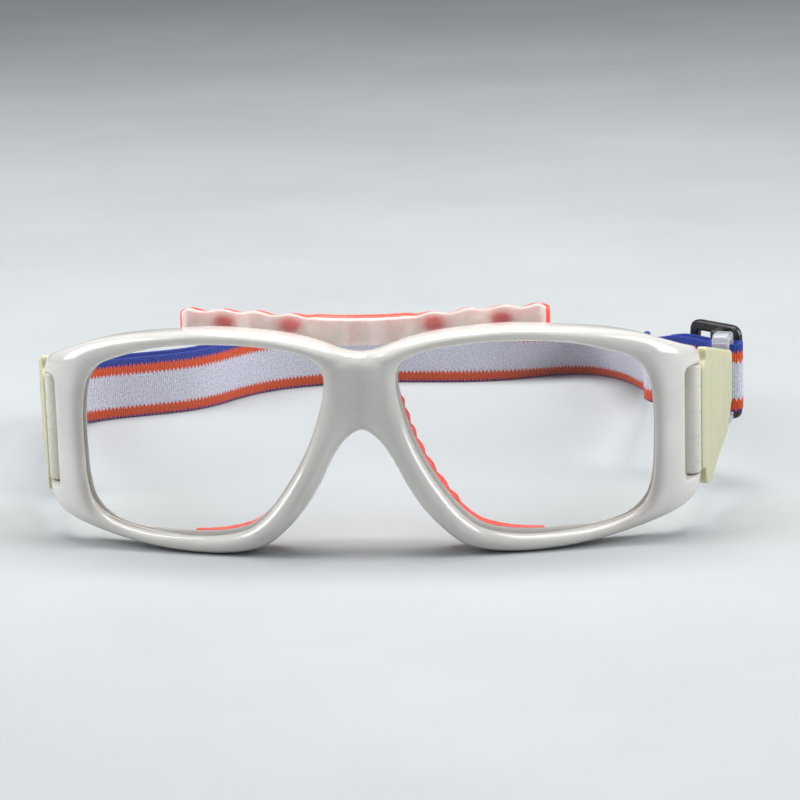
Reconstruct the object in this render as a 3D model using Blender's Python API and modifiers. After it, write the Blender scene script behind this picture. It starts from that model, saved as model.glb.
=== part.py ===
"""Sports protective goggles with an elastic head strap, standing on the lower rims and the strap's edge.

Lengths below are in millimetres and are turned into metres when a mesh is made. The front faces -Y, +X is
on the right of someone who looks at the front, and +Z is up. Most of the front is described on a sheet
that is wrapped round the face: "along" runs round the wrap from the middle of the bridge, "depth" goes
into the goggles from the front surface, and z is the height above the table.
"""
import math

import bmesh
import bpy
from mathutils import Matrix, Vector

MM = 0.001
GAP = 0.3                      # between neighbouring pieces
SHARP_ANGLE = math.radians(40.0)
ORIGIN_SHIFT = (3.1, -95.4)    # puts the origin under the middle of the object's box

# The wrap, seen from above: a wide arc across both lenses, a tight turn, and a straight temple end.
FACE_RADIUS = 165.0
FACE_HALF_WIDTH = 63.5
TURN_RADIUS = 20.0
TEMPLE_ANGLE = math.radians(69.0)
TEMPLE_END = 86.0

# The rim's section, from the lens outwards.
RIM_DEPTH = 9.0
TEMPLE_DEPTH = 5.2
THINNING = (67.0, 80.0)        # where along the wrap the rim thins down to the temple's depth
ROUNDING = 9.0                 # widest stretch of rim that the rounding of the edges uses
INNER_ROUND = 2.6              # how deep the front rounds off towards the lens, and towards the outside
OUTER_ROUND = 3.2
REAR_ROUND = 2.4
VALLEY = 1.1                   # how far the bridge dips between the two nasal rims
VALLEY_HALF_WIDTH = 7.5
GROOVE = 0.8
LIP = 0.25
LENS_BITE = 0.5
LENS_FRONT = 3.3
LENS_THICKNESS = 2.0
STATIONS_PER_ROW = 2
OUTER_WALL = 10                # which point of a section ends the front; the outer wall follows it

# Hinge between the front and each strap arm, on a vertical pin.
HINGE_ALONG = 83.0
PIN_RADIUS = 1.15
PIN_Z = (10.7, 40.1)
BORE_RADIUS = PIN_RADIUS + GAP
BARREL_RADIUS = 2.6
NOTCH_Z = (12.4, 38.3)
NOTCH_FRONT = 3.0
POCKET_FRONT = 7.2             # the shallow pocket in front of the slot starts this far before the hinge
POCKET_DEPTH = 2.6
POCKET_EXTRA = 0.4

# Strap arm, in its own plane: u runs back from the hinge, z is up.
ARM_SPLAY = math.radians(13.5)
ARM_THICKNESS = 2.2
ARM_OFFSET = 1.9
ARM_OUTLINE = [
    (0.0, 13.2), (3.8, 13.2), (3.8, 9.6), (7.5, 8.0), (27.5, 16.2), (32.5, 23.8),
    (32.5, 34.4), (3.8, 41.2), (3.8, 37.6), (0.0, 37.6),
]

# Clear keeper behind the arm, with the window that the strap loops through.
KEEPER_U = (32.8, 39.8)
KEEPER_Z = (15.8, 37.8)
KEEPER_WINDOW_U = (35.0, 38.0)
KEEPER_WINDOW_Z = (18.1, 35.5)
KEEPER_THICKNESS = 4.0
KEEPER_OFFSET = {1: -0.15, -1: -1.6}
KEEPER_LIFT = {1: 0.0, -1: -5.5}

# Strap webbing and its slider.
STRAP_WIDTH = 16.5
STRAP_THICKNESS = 1.1
STRAP_STEP = 4.0
TAIL_OFFSET = 1.55
TAIL_LIFT = 0.8
SLIDER_START = (85.4, 67.4)
SLIDER_ANGLE = math.radians(134.4)
SLIDER_LENGTH = 16.4
SLIDER_Z = (15.0, 38.0)
SLIDER_BAR = 2.6
SLIDER_THICKNESS = 1.8
LOOP_BAR_T = (4.4, 6.6)
LOOP_BAR_DEPTH = (2.6, 3.8)
FAR_LAYER = -1.75
NEAR_LAYER = -4.65
FREE_END = 21.5                # how far the free end runs behind the slider's start
SLIDER_STRAP_Z = sum(SLIDER_Z) / 2 - 0.3
KEEPER_STRAP_Z = sum(KEEPER_WINDOW_Z) / 2
TACK_SIZE = (1.6, 0.5, 11.0)

# Rows round the lens opening of the +X half, from the top of the bridge outwards and back:
# lens edge (along, z) and outer edge (along, z).
RIM_ROWS = [
    ((8.6, 43.0), (0.0, 46.1)),
    ((10.5, 44.8), (4.0, 46.6)),
    ((14.0, 46.2), (9.5, 48.5)),
    ((19.0, 47.2), (16.5, 50.1)),
    ((26.5, 47.9), (25.0, 51.0)),
    ((34.5, 47.9), (35.0, 51.3)),
    ((42.0, 47.4), (44.0, 50.6)),
    ((49.0, 46.3), (52.5, 49.7)),
    ((56.0, 44.3), (60.5, 48.4)),
    ((61.3, 42.2), (68.0, 46.5)),
    ((64.2, 39.4), (77.0, 43.7)),
    ((65.6, 36.0), (84.0, 41.5)),
    ((66.25, 32.0), (TEMPLE_END, 37.0)),
    ((66.55, 27.5), (TEMPLE_END, 28.0)),
    ((66.45, 21.5), (TEMPLE_END, 20.0)),
    ((66.1, 15.5), (TEMPLE_END, 13.2)),
    ((64.8, 10.6), (83.3, 8.6)),
    ((61.8, 7.3), (76.0, 6.2)),
    ((57.2, 5.4), (67.5, 4.2)),
    ((51.0, 4.3), (57.0, 1.9)),
    ((44.5, 3.9), (47.0, 0.5)),
    ((37.0, 3.9), (37.0, 0.0)),
    ((31.0, 4.6), (29.0, 0.5)),
    ((25.8, 6.2), (22.5, 2.4)),
    ((21.7, 9.5), (17.6, 6.2)),
    ((18.2, 13.9), (13.4, 10.9)),
    ((14.9, 19.0), (10.0, 16.2)),
    ((12.3, 24.0), (7.0, 22.0)),
    ((10.5, 28.5), (4.0, 26.3)),
    ((9.1, 33.0), (0.0, 28.7)),
    ((8.3, 36.8), (0.0, 35.5)),
    ((8.0, 40.2), (0.0, 42.0)),
]
BRIDGE_ROWS = (29, 32)         # the rows whose outer edge lies on the middle plane
NOSE_PAD_ROWS = (20.6, 31.0)

# Brow bar behind the top rim, and the soft pad behind it.
BROW_HALF_WIDTH = 44.0
BROW_PAD_HALF_WIDTH = 45.6
BROW_BOTTOM = 46.6
BROW_BAR_DEPTH = (9.3, 11.3)
BROW_PAD_DEPTH = (11.6, 15.2)
SCALLOP_PITCH = 8.75
SCALLOP_FIRST = 16.7
SCALLOP_HEIGHT = 0.35
VENT_ALONG = (17.2, 33.4)
VENT_SIZE = (4.4, 3.0)
VENT_Z = 50.4

# Strap routes, seen from above, with the height of the webbing's middle: (x, y, z).
BAND_ROUTE = [
    (-85.0, 84.6, 20.2), (-86.8, 92.0, 18.4), (-88.7, 100.0, 16.6), (-90.3, 110.0, 14.2),
    (-90.9, 119.0, 12.0), (-90.3, 128.0, 9.9), (-87.0, 135.5, 8.6), (-81.5, 140.2, 8.3),
    (-74.5, 143.4, 8.3), (-66.5, 146.8, 8.3), (-60.0, 150.8, 8.3), (-54.8, 156.6, 8.3),
    (-50.3, 163.8, 8.3), (-44.8, 170.6, 8.3), (-37.5, 176.0, 8.3), (-28.0, 179.8, 8.3),
    (-18.0, 181.5, 8.3), (-7.0, 182.6, 8.3), (5.0, 182.0, 8.3), (15.0, 182.0, 8.3),
    (24.0, 184.0, 8.3), (33.0, 188.0, 8.3), (41.0, 190.2, 8.3), (48.0, 188.9, 8.3),
    (53.5, 184.5, 8.3), (58.5, 177.0, 8.4), (61.3, 168.0, 8.8), (62.8, 155.0, 10.8),
    (63.3, 140.0, 14.0), (63.1, 120.0, 19.0), (62.7, 100.0, 23.6), (62.7, 90.0, 25.5),
]
TAIL_END_POINT = 13            # the tail lies against the band up to this point of its route


# ---------------------------------------------------------------- plain helpers

def clear_scene():
    for obj in list(bpy.data.objects):
        bpy.data.objects.remove(obj, do_unlink=True)


def new_collection(name):
    collection = bpy.data.collections.new(name)
    bpy.context.scene.collection.children.link(collection)
    return collection


def make_material(name, colour, roughness, alpha=1.0, transmission=0.0):
    material = bpy.data.materials.new(name)
    material.use_nodes = True
    shader = material.node_tree.nodes["Principled BSDF"]
    shader.inputs["Base Color"].default_value = (*colour, 1.0)
    shader.inputs["Roughness"].default_value = roughness
    shader.inputs["Metallic"].default_value = 0.0
    shader.inputs["Alpha"].default_value = alpha
    shader.inputs["Transmission Weight"].default_value = transmission
    return material


def lerp(a, b, t):
    return a + (b - a) * t


def smoothstep(t):
    t = min(max(t, 0.0), 1.0)
    return t * t * (3 - 2 * t)


def catmull(p0, p1, p2, p3, t):
    """A smooth value between p1 and p2."""
    return 0.5 * (2 * p1 + (p2 - p0) * t + (2 * p0 - 5 * p1 + 4 * p2 - p3) * t * t
                  + (3 * p1 - p0 - 3 * p2 + p3) * t ** 3)


def smooth_route(points, step):
    """Points about one step apart on the smooth curve through the given ones."""
    route = []
    last = len(points) - 1
    for i in range(last):
        quad = [Vector(points[max(i - 1, 0)]), Vector(points[i]),
                Vector(points[i + 1]), Vector(points[min(i + 2, last)])]
        pieces = max(1, round((quad[2] - quad[1]).length / step))
        for k in range(pieces):
            route.append(catmull(*quad, k / pieces))
    route.append(Vector(points[last]))
    return route


def rounded_outline(corners, radius, steps=3):
    """The same outline with each corner turned into an arc."""
    outline = []
    count = len(corners)
    for i, corner in enumerate(corners):
        here = Vector(corner)
        before = Vector(corners[i - 1]) - here
        after = Vector(corners[(i + 1) % count]) - here
        reach = min(radius, before.length * 0.45, after.length * 0.45)
        start = here + before.normalized() * reach
        end = here + after.normalized() * reach
        for k in range(steps + 1):
            t = k / steps
            outline.append(start * (1 - t) ** 2 + here * 2 * t * (1 - t) + end * t * t)
    return outline


# ---------------------------------------------------------------- the wrap

def wrap(along, depth, z):
    """A point on the wrapped sheet, in millimetres in the object's frame."""
    side = -1.0 if along < 0 else 1.0
    along = abs(along)
    first = math.asin(FACE_HALF_WIDTH / FACE_RADIUS)
    face_length = FACE_RADIUS * first
    turn_length = TURN_RADIUS * (TEMPLE_ANGLE - first)
    angle = min(along, face_length) / FACE_RADIUS
    x = FACE_RADIUS * math.sin(angle)
    y = FACE_RADIUS * (1 - math.cos(angle))
    if along > face_length:
        angle = first + min(along - face_length, turn_length) / TURN_RADIUS
        x += TURN_RADIUS * (math.sin(angle) - math.sin(first))
        y += TURN_RADIUS * (math.cos(first) - math.cos(angle))
    if along > face_length + turn_length:
        rest = along - face_length - turn_length
        x += rest * math.cos(TEMPLE_ANGLE)
        y += rest * math.sin(TEMPLE_ANGLE)
    return Vector((side * (x - depth * math.sin(angle)), y + depth * math.cos(angle), z))


def rim_row(t):
    """Lens edge and outer edge at row t, which may lie between two rows."""
    count = len(RIM_ROWS)
    i = int(math.floor(t))
    rows = [RIM_ROWS[(i + k) % count] for k in (-1, 0, 1, 2)]
    inner = catmull(*[Vector(row[0]) for row in rows], t - i)
    edge = [Vector(row[1]) for row in rows]
    if i == 0:
        edge[0] = Vector((-edge[2].x, edge[2].y))
    if i == BRIDGE_ROWS[0] - 1:
        edge[3] = Vector((-edge[1].x, edge[1].y))
    outer = catmull(*edge, t - i)
    outer.x = min(outer.x, TEMPLE_END)
    if meets_middle(t):
        outer.x = 0.0
    return inner, outer


def meets_middle(t):
    return BRIDGE_ROWS[0] <= t <= BRIDGE_ROWS[1] or t == 0


def sheet_point(side, spot, depth, straight):
    """A point behind the sheet: square to it (0), or straight back as the lens opening is moulded (1)."""
    front = wrap(side * spot.x, 0.0, spot.y)
    square = wrap(side * spot.x, depth, spot.y)
    return square.lerp(front + Vector((0.0, depth, 0.0)), straight)


def straightness(reach, edge):
    return smoothstep((edge - reach) / (0.7 * edge))


def outer_line():
    """The front's outer edge on the sheet as lines of points, with the nearby parts of the other half."""
    steps = BRIDGE_ROWS[0] * 4
    line = [rim_row(i / 4)[1] for i in range(steps + 1)]
    mirrored = [Vector((-spot.x, spot.y)) for spot in line]
    return line, mirrored[:12], mirrored[-12:]


def line_distance(spot, lines):
    nearest = math.inf
    for line in lines:
        for a, b in zip(line, line[1:]):
            run = b - a
            t = min(max((spot - a).dot(run) / max(run.length_squared, 1e-9), 0.0), 1.0)
            nearest = min(nearest, (spot - a - run * t).length)
    return nearest


def round_off(distance, reach, drop):
    """How far an elliptic edge drops at a distance from its end."""
    t = 1.0 - min(max(distance / reach, 0.0), 1.0)
    return drop * (1.0 - math.sqrt(1.0 - t * t))


def local_depth(along):
    """How much thinner the rim is here than round the lenses."""
    t = (abs(along) - THINNING[0]) / (THINNING[1] - THINNING[0])
    return lerp(1.0, TEMPLE_DEPTH / RIM_DEPTH, smoothstep(t))


def hinge_point(side):
    """The hinge axis, seen from above."""
    return wrap(side * HINGE_ALONG, TEMPLE_DEPTH / 2, 0.0)


# ---------------------------------------------------------------- mesh makers

def object_from_bmesh(name, mesh_edit, material):
    """Turn millimetres into metres and make the named object."""
    bmesh.ops.recalc_face_normals(mesh_edit, faces=mesh_edit.faces)
    bmesh.ops.scale(mesh_edit, vec=(MM, MM, MM), verts=mesh_edit.verts)
    mesh = bpy.data.meshes.new(name)
    mesh_edit.to_mesh(mesh)
    mesh_edit.free()
    mesh.shade_smooth()
    mesh.set_sharp_from_angle(angle=SHARP_ANGLE)
    mesh.materials.append(material)
    obj = bpy.data.objects.new(name, mesh)
    PARTS.objects.link(obj)
    obj.parent = ROOT
    return obj


def loft(sections, ring=False, skip_face=None):
    """Faces between sections that have the same number of points."""
    mesh_edit = bmesh.new()
    grid = [[mesh_edit.verts.new(point) for point in section] for section in sections]
    count = len(sections)
    size = len(sections[0])
    for i in range(count if ring else count - 1):
        after = (i + 1) % count
        for k in range(size):
            if skip_face and skip_face(i, k):
                continue
            nxt = (k + 1) % size
            mesh_edit.faces.new((grid[i][k], grid[i][nxt], grid[after][nxt], grid[after][k]))
    if not ring:
        mesh_edit.faces.new(list(reversed(grid[0])))
        mesh_edit.faces.new(grid[-1])
    return mesh_edit


def flat_plate(name, outlines, thickness, matrix, material):
    """Outlines in a plane, the later ones as holes, thickened by half on each side of it."""
    curve = bpy.data.curves.new(name, "CURVE")
    curve.dimensions = "2D"
    curve.fill_mode = "BOTH"
    curve.extrude = thickness / 2
    for outline in outlines:
        spline = curve.splines.new("POLY")
        spline.points.add(len(outline) - 1)
        for point, (a, b) in zip(spline.points, outline):
            point.co = (a, b, 0.0, 1.0)
        spline.use_cyclic_u = True
    holder = bpy.data.objects.new(name + "_outline", curve)
    bpy.context.scene.collection.objects.link(holder)
    evaluated = holder.evaluated_get(bpy.context.evaluated_depsgraph_get())
    mesh = bpy.data.meshes.new_from_object(evaluated)
    mesh_edit = bmesh.new()
    mesh_edit.from_mesh(mesh)
    bpy.data.objects.remove(holder, do_unlink=True)
    bmesh.ops.remove_doubles(mesh_edit, verts=mesh_edit.verts, dist=0.001)
    bmesh.ops.transform(mesh_edit, matrix=matrix, verts=mesh_edit.verts)
    return object_from_bmesh(name, mesh_edit, material)


def cylinder(name, radius, bottom, top, centre, material, segments=24):
    mesh_edit = bmesh.new()
    bmesh.ops.create_cone(mesh_edit, cap_ends=True, segments=segments, radius1=radius,
                          radius2=radius, depth=top - bottom)
    bmesh.ops.translate(mesh_edit, verts=mesh_edit.verts,
                        vec=(centre.x, centre.y, (top + bottom) / 2))
    return object_from_bmesh(name, mesh_edit, material)


def box(name, size, matrix, material):
    mesh_edit = bmesh.new()
    bmesh.ops.create_cube(mesh_edit, size=1.0)
    bmesh.ops.scale(mesh_edit, vec=size, verts=mesh_edit.verts)
    bmesh.ops.transform(mesh_edit, matrix=matrix, verts=mesh_edit.verts)
    return object_from_bmesh(name, mesh_edit, material)


def upright_plane(origin, angle, offset=0.0):
    """Maps (u, z, thickness): u runs level at the angle from +X, and offset moves sideways."""
    forward = Vector((math.cos(angle), math.sin(angle), 0.0))
    sideways = Vector((math.sin(angle), -math.cos(angle), 0.0))
    matrix = Matrix.Identity(4)
    matrix.col[0] = (*forward, 0.0)
    matrix.col[1] = (0.0, 0.0, 1.0, 0.0)
    matrix.col[2] = (*sideways, 0.0)
    matrix.col[3] = (*(Vector((origin[0], origin[1], 0.0)) + sideways * offset), 1.0)
    return matrix


def as_cutter(obj):
    """Take an object out of the parts, for use in a Boolean."""
    PARTS.objects.unlink(obj)
    CUTTERS.objects.link(obj)
    obj.hide_render = True
    obj.display_type = "WIRE"
    return obj


def boolean(obj, cutter, operation="DIFFERENCE"):
    modifier = obj.modifiers.new(operation.title(), "BOOLEAN")
    modifier.operation = operation
    modifier.object = as_cutter(cutter)
    modifier.solver = "EXACT"


def ribbon(name, route, material):
    """Webbing that stands on edge along a route."""
    mesh_edit = bmesh.new()
    rows = []
    for point in route:
        low = mesh_edit.verts.new((point.x, point.y, point.z - STRAP_WIDTH / 2))
        high = mesh_edit.verts.new((point.x, point.y, point.z + STRAP_WIDTH / 2))
        rows.append((low, high))
    for (low_a, high_a), (low_b, high_b) in zip(rows, rows[1:]):
        mesh_edit.faces.new((low_a, low_b, high_b, high_a))
    obj = object_from_bmesh(name, mesh_edit, material)
    solidify = obj.modifiers.new("Webbing", "SOLIDIFY")
    solidify.thickness = STRAP_THICKNESS * MM
    solidify.offset = 0.0
    solidify.use_even_offset = True
    return obj


def beside(route, distance, lift=0.0):
    """A route beside another, to the left of its direction for a positive distance."""
    result = []
    last = len(route) - 1
    for i, point in enumerate(route):
        along = route[min(i + 1, last)] - route[max(i - 1, 0)]
        left = Vector((-along.y, along.x, 0.0)).normalized()
        result.append(point + left * distance + Vector((0.0, 0.0, lift)))
    return result


# ---------------------------------------------------------------- front, lenses and pads

def rim_section(t, lines):
    """Section of the rim at row t, from the lens edge over the front and the rear to the groove."""
    inner, outer = rim_row(t)
    width = (outer - inner).length
    out = (outer - inner) / width
    edge = min(width, ROUNDING)
    half = 0.5 * edge
    rear_round = 0.36 * edge
    front = [half * turn for turn in (0.0, 0.08, 0.3, 0.62, 1.0)]
    front += [lerp(half, width - half, 0.5)]
    front += [width - half * turn for turn in (1.0, 0.62, 0.3, 0.08, 0.0)]
    section = []

    def add_point(reach, depth):
        spot = inner + out * reach
        section.append(sheet_point(1, spot, depth * local_depth(spot.x), straightness(reach, edge)))

    for reach in front:
        spot = inner + out * reach
        to_outside = line_distance(spot, lines)
        depth = round_off(reach, half, INNER_ROUND) + round_off(to_outside, half, OUTER_ROUND)
        depth += VALLEY * smoothstep(1.0 - spot.x / VALLEY_HALF_WIDTH)
        add_point(reach, min(depth, INNER_ROUND + OUTER_ROUND))
    for reach in (width, width - 0.3 * rear_round, width - rear_round, lerp(width, rear_round, 0.5)):
        to_outside = line_distance(inner + out * reach, lines)
        add_point(reach, RIM_DEPTH - round_off(to_outside, rear_round, REAR_ROUND))
    for reach, depth in ((0.36 * edge, 8.9), (0.14 * edge, 7.9), (-LIP, 6.3), (-LIP, 5.8),
                         (GROOVE, 5.6), (GROOVE, 3.0)):
        add_point(reach, depth)
    if meets_middle(t):
        section[OUTER_WALL].x = 0.0
        section[OUTER_WALL + 1].x = 0.0
    return section


def make_front_frame():
    count = len(RIM_ROWS) * STATIONS_PER_ROW
    rows = [i / STATIONS_PER_ROW for i in range(count)]
    lines = outer_line()

    def open_at_bridge(i, k):
        return k == OUTER_WALL and BRIDGE_ROWS[0] <= rows[i] < BRIDGE_ROWS[1]

    mesh_edit = loft([rim_section(t, lines) for t in rows], ring=True, skip_face=open_at_bridge)
    frame = object_from_bmesh("front_frame", mesh_edit, IVORY)
    mirror = frame.modifiers.new("Both sides", "MIRROR")
    mirror.merge_threshold = 0.0001
    for side in (-1, 1):
        hinge = hinge_point(side)
        boolean(frame, notch_cutter("notch", side, NOTCH_FRONT, (1.0, TEMPLE_DEPTH + 3.0), 0.0))
        boolean(frame, notch_cutter("pocket", side, POCKET_FRONT, (-2.0, POCKET_DEPTH), POCKET_EXTRA))
        boolean(frame, cylinder("pin_socket", BORE_RADIUS, PIN_Z[0] - GAP, PIN_Z[1] + GAP, hinge, IVORY))
    return frame


def notch_cutter(name, side, ahead, depths, extra):
    """A block that follows the wrap, from ahead of the hinge to beyond the temple's end."""
    start = HINGE_ALONG - ahead
    end = TEMPLE_END + 4.0 + extra
    near, far = depths
    low, high = NOTCH_Z[0] - extra, NOTCH_Z[1] + extra
    sections = []
    for k in range(5):
        along = side * lerp(start, end, k / 4)
        sections.append([wrap(along, near, low), wrap(along, far, low),
                         wrap(along, far, high), wrap(along, near, high)])
    return object_from_bmesh(name, loft(sections), IVORY)


def make_lens(name, side):
    """A curved pane that stands in the rim's groove."""
    rings = (1.0, 0.66, 0.33)
    middle = Vector((36.0, 26.5))
    edge = []
    for row in range(len(RIM_ROWS)):
        inner, outer = rim_row(row)
        edge.append(inner + (outer - inner).normalized() * LENS_BITE)
    mesh_edit = bmesh.new()
    faces = []
    for depth in (LENS_FRONT, LENS_FRONT + LENS_THICKNESS):
        grid = []
        for scale in rings:
            spots = [middle + (spot - middle) * scale for spot in edge]
            grid.append([mesh_edit.verts.new(sheet_point(side, s, depth, 1.0)) for s in spots])
        centre = mesh_edit.verts.new(sheet_point(side, middle, depth, 1.0))
        faces.append(grid[0])
        count = len(edge)
        for k in range(count):
            nxt = (k + 1) % count
            for outer_ring, inner_ring in zip(grid, grid[1:]):
                mesh_edit.faces.new((outer_ring[k], outer_ring[nxt], inner_ring[nxt], inner_ring[k]))
            mesh_edit.faces.new((grid[-1][k], grid[-1][nxt], centre))
    front, rear = faces
    for k in range(len(edge)):
        nxt = (k + 1) % len(edge)
        mesh_edit.faces.new((front[k], rear[k], rear[nxt], front[nxt]))
    return object_from_bmesh(name, mesh_edit, CLEAR)


def make_nose_pad(name, side):
    """A ribbed strip behind the nasal rim."""
    first, last = NOSE_PAD_ROWS
    count = 44
    sections = []
    for i in range(count + 1):
        t = lerp(first, last, i / count)
        inner, outer = rim_row(t)
        out = (outer - inner).normalized()
        taper = min(1.0, 4.0 * min(i, count - i) / count)
        in_ribs = 24.0 <= t <= 29.6
        rib = 0.25 * (1 - math.cos((t - 24.0) / 5.6 * 14 * math.pi)) if in_ribs else 0.0
        near = lerp(0.3, 0.2, taper) - rib
        far = lerp(1.2, 3.4, taper)
        edge = min((outer - inner).length, ROUNDING)
        thick = lerp(1.6, 3.2, taper)
        profile = [(near + 0.4, 9.3), (near, 9.9), (near + 0.2, 9.3 + thick - 0.5),
                   (near + 0.9, 9.3 + thick), (far, 9.3 + thick * 0.7), (far, 9.3)]
        sections.append([sheet_point(side, inner + out * reach, depth, straightness(reach, edge))
                         for reach, depth in profile])
    return object_from_bmesh(name, loft(sections), CORAL)


def brow_top(along):
    """Height of the brow bar's scalloped top edge."""
    reach = min(max((abs(along) - 3.0) / 30.0, 0.0), 1.0)
    rise = 1.6 * smoothstep(reach)
    fade = smoothstep((abs(along) - 10.0) / 4.0)
    scallop = SCALLOP_HEIGHT * math.cos(2 * math.pi * (abs(along) - SCALLOP_FIRST) / SCALLOP_PITCH) * fade
    return 52.6 + rise + scallop


def brow_stations(half_width, spacing):
    """Places along the brow, none inside the flat middle."""
    count = round((half_width - 4.0) / spacing)
    side = [4.0 + (half_width - 4.0) * i / count for i in range(count + 1)]
    return [-s for s in reversed(side)] + side


def make_brow_bar():
    sections = []
    front, rear = BROW_BAR_DEPTH
    for along in brow_stations(BROW_HALF_WIDTH, 2.0):
        top = brow_top(along)
        profile = [(front, BROW_BOTTOM), (front, 50.5), (front + 0.3, top - 0.7), (front + 0.9, top),
                   (rear - 0.2, top - 0.3), (rear, top - 1.0), (rear, BROW_BOTTOM)]
        sections.append([wrap(along, depth, z) for depth, z in profile])
    bar = object_from_bmesh("brow_bar", loft(sections), IVORY)
    for side in (-1, 1):
        for along in VENT_ALONG:
            spot = wrap(side * along, sum(BROW_BAR_DEPTH) / 2, VENT_Z)
            turn = Matrix.Rotation(side * along / FACE_RADIUS, 4, "Z")
            size = (VENT_SIZE[0], 6.0, VENT_SIZE[1])
            boolean(bar, box("vent", size, Matrix.Translation(spot) @ turn, IVORY))
    return bar


def make_brow_pad():
    sections = []
    front, rear = BROW_PAD_DEPTH
    for along in brow_stations(BROW_PAD_HALF_WIDTH, 3.8):
        middle = min(1.0, max(0.0, (17.0 - abs(along)) / 5.0))
        top = brow_top(min(abs(along), 33.0)) - lerp(0.9, -1.1, middle)
        profile = [(front, BROW_BOTTOM + 0.2), (front, top - 0.5), (front + 0.8, top),
                   (rear - 0.9, top - 0.5), (rear, top - 1.6), (rear, BROW_BOTTOM + 0.9),
                   (rear - 0.8, BROW_BOTTOM + 0.2)]
        sections.append([wrap(along, depth, z) for depth, z in profile])
    return object_from_bmesh("brow_pad", loft(sections), CORAL)


# ---------------------------------------------------------------- arms and keepers

def arm_angle(side):
    return math.pi / 2 - side * ARM_SPLAY


def make_arm(name, side):
    """Moulded arm with a barrel on the hinge pin."""
    hinge = hinge_point(side)
    matrix = upright_plane(hinge, arm_angle(side), side * ARM_OFFSET)
    arm = flat_plate(name, [rounded_outline(ARM_OUTLINE, 1.6, 2)], ARM_THICKNESS, matrix, PALE_GREEN)
    low, high = NOTCH_Z
    barrel = cylinder("barrel", BARREL_RADIUS, low + 0.4, high - 0.4, hinge, PALE_GREEN, 28)
    boolean(arm, barrel, "UNION")
    boolean(arm, cylinder("bore", BORE_RADIUS, low - 2, high + 2, hinge, PALE_GREEN))
    return arm


def make_keeper(name, side):
    """Clear loop that joins the strap to the arm."""
    corners = ((0, 0), (1, 0), (1, 1), (0, 1))
    heights = [z + KEEPER_LIFT[side] for z in KEEPER_Z]
    window_heights = [z + KEEPER_LIFT[side] for z in KEEPER_WINDOW_Z]
    outer = [(KEEPER_U[i], heights[k]) for i, k in corners]
    window = [(KEEPER_WINDOW_U[i], window_heights[k]) for i, k in corners]
    outlines = [rounded_outline(outer, 2.0), rounded_outline(window, 0.6, 2)]
    matrix = upright_plane(hinge_point(side), arm_angle(side), side * KEEPER_OFFSET[side])
    return flat_plate(name, outlines, KEEPER_THICKNESS, matrix, MILKY)


# ---------------------------------------------------------------- strap and slider

def arm_spot(side, u, sideways, z):
    """A point given by its distance behind the hinge and outwards from the arm's middle plane."""
    hinge = hinge_point(side)
    angle = arm_angle(side)
    forward = Vector((math.cos(angle), math.sin(angle), 0.0))
    outward = Vector((math.sin(angle), -math.cos(angle), 0.0)) * side
    spot = hinge + forward * u + outward * sideways
    spot.z = z
    return spot


def slider_spot(t, depth, z):
    """A point along the slider, with depth away from the front."""
    forward = Vector((math.cos(SLIDER_ANGLE), math.sin(SLIDER_ANGLE), 0.0))
    rearward = Vector((math.sin(SLIDER_ANGLE), -math.cos(SLIDER_ANGLE), 0.0))
    spot = Vector((*SLIDER_START, 0.0)) + forward * t + rearward * depth
    spot.z = z
    return spot


def keeper_loop(side):
    """The strap's turn through the keeper's window, from the outer side to the inner side."""
    spots = [(39.2, 3.6), (37.6, 3.75), (36.3, 2.3), (35.95, 0.0), (36.3, -2.1), (37.6, -2.9),
             (39.4, -2.95)]
    level = KEEPER_STRAP_Z + KEEPER_LIFT[side]
    return [arm_spot(side, u, KEEPER_OFFSET[side] + sideways, level) for u, sideways in spots]


def make_right_end():
    """Both layers at the right arm: the free end, the turn through the keeper, and the start of the band."""
    level = SLIDER_STRAP_Z
    route = [slider_spot(t, FAR_LAYER, level) for t in (FREE_END, 16.0, 10.0, 5.0, 1.5)]
    route += [slider_spot(0.0, FAR_LAYER, 26.6), Vector((85.35, 65.5, 26.8))]
    route += keeper_loop(1)
    route += [Vector((78.3, 67.2, 26.8))]
    route += [slider_spot(t, NEAR_LAYER, level) for t in (6.8, 12.0, 18.0, 22.5, 25.5)]
    route += [Vector((62.75, 85.2, 26.2)), Vector((62.6, 88.7, 25.8))]
    return ribbon("strap_end_right", smooth_route(route, 2.0), WEBBING)


def make_left_end():
    """Both layers at the left arm, up to where the band and the folded tail go on."""
    inner = [(-78.7, 69.9, 22.0), (-80.5, 74.3, 21.6), (-82.4, 78.6, 21.1), (-84.4, 83.1, 20.5)]
    outer = [(-83.5, 67.6, 22.3), (-83.6, 71.6, 22.3), (-84.2, 75.2, 22.0), (-85.2, 79.0, 21.6),
             (-86.2, 82.7, 21.2)]
    route = [Vector(point) for point in reversed(outer)] + keeper_loop(-1)
    route += [Vector(point) for point in inner]
    return ribbon("strap_end_left", smooth_route(route, 2.5), WEBBING)


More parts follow.
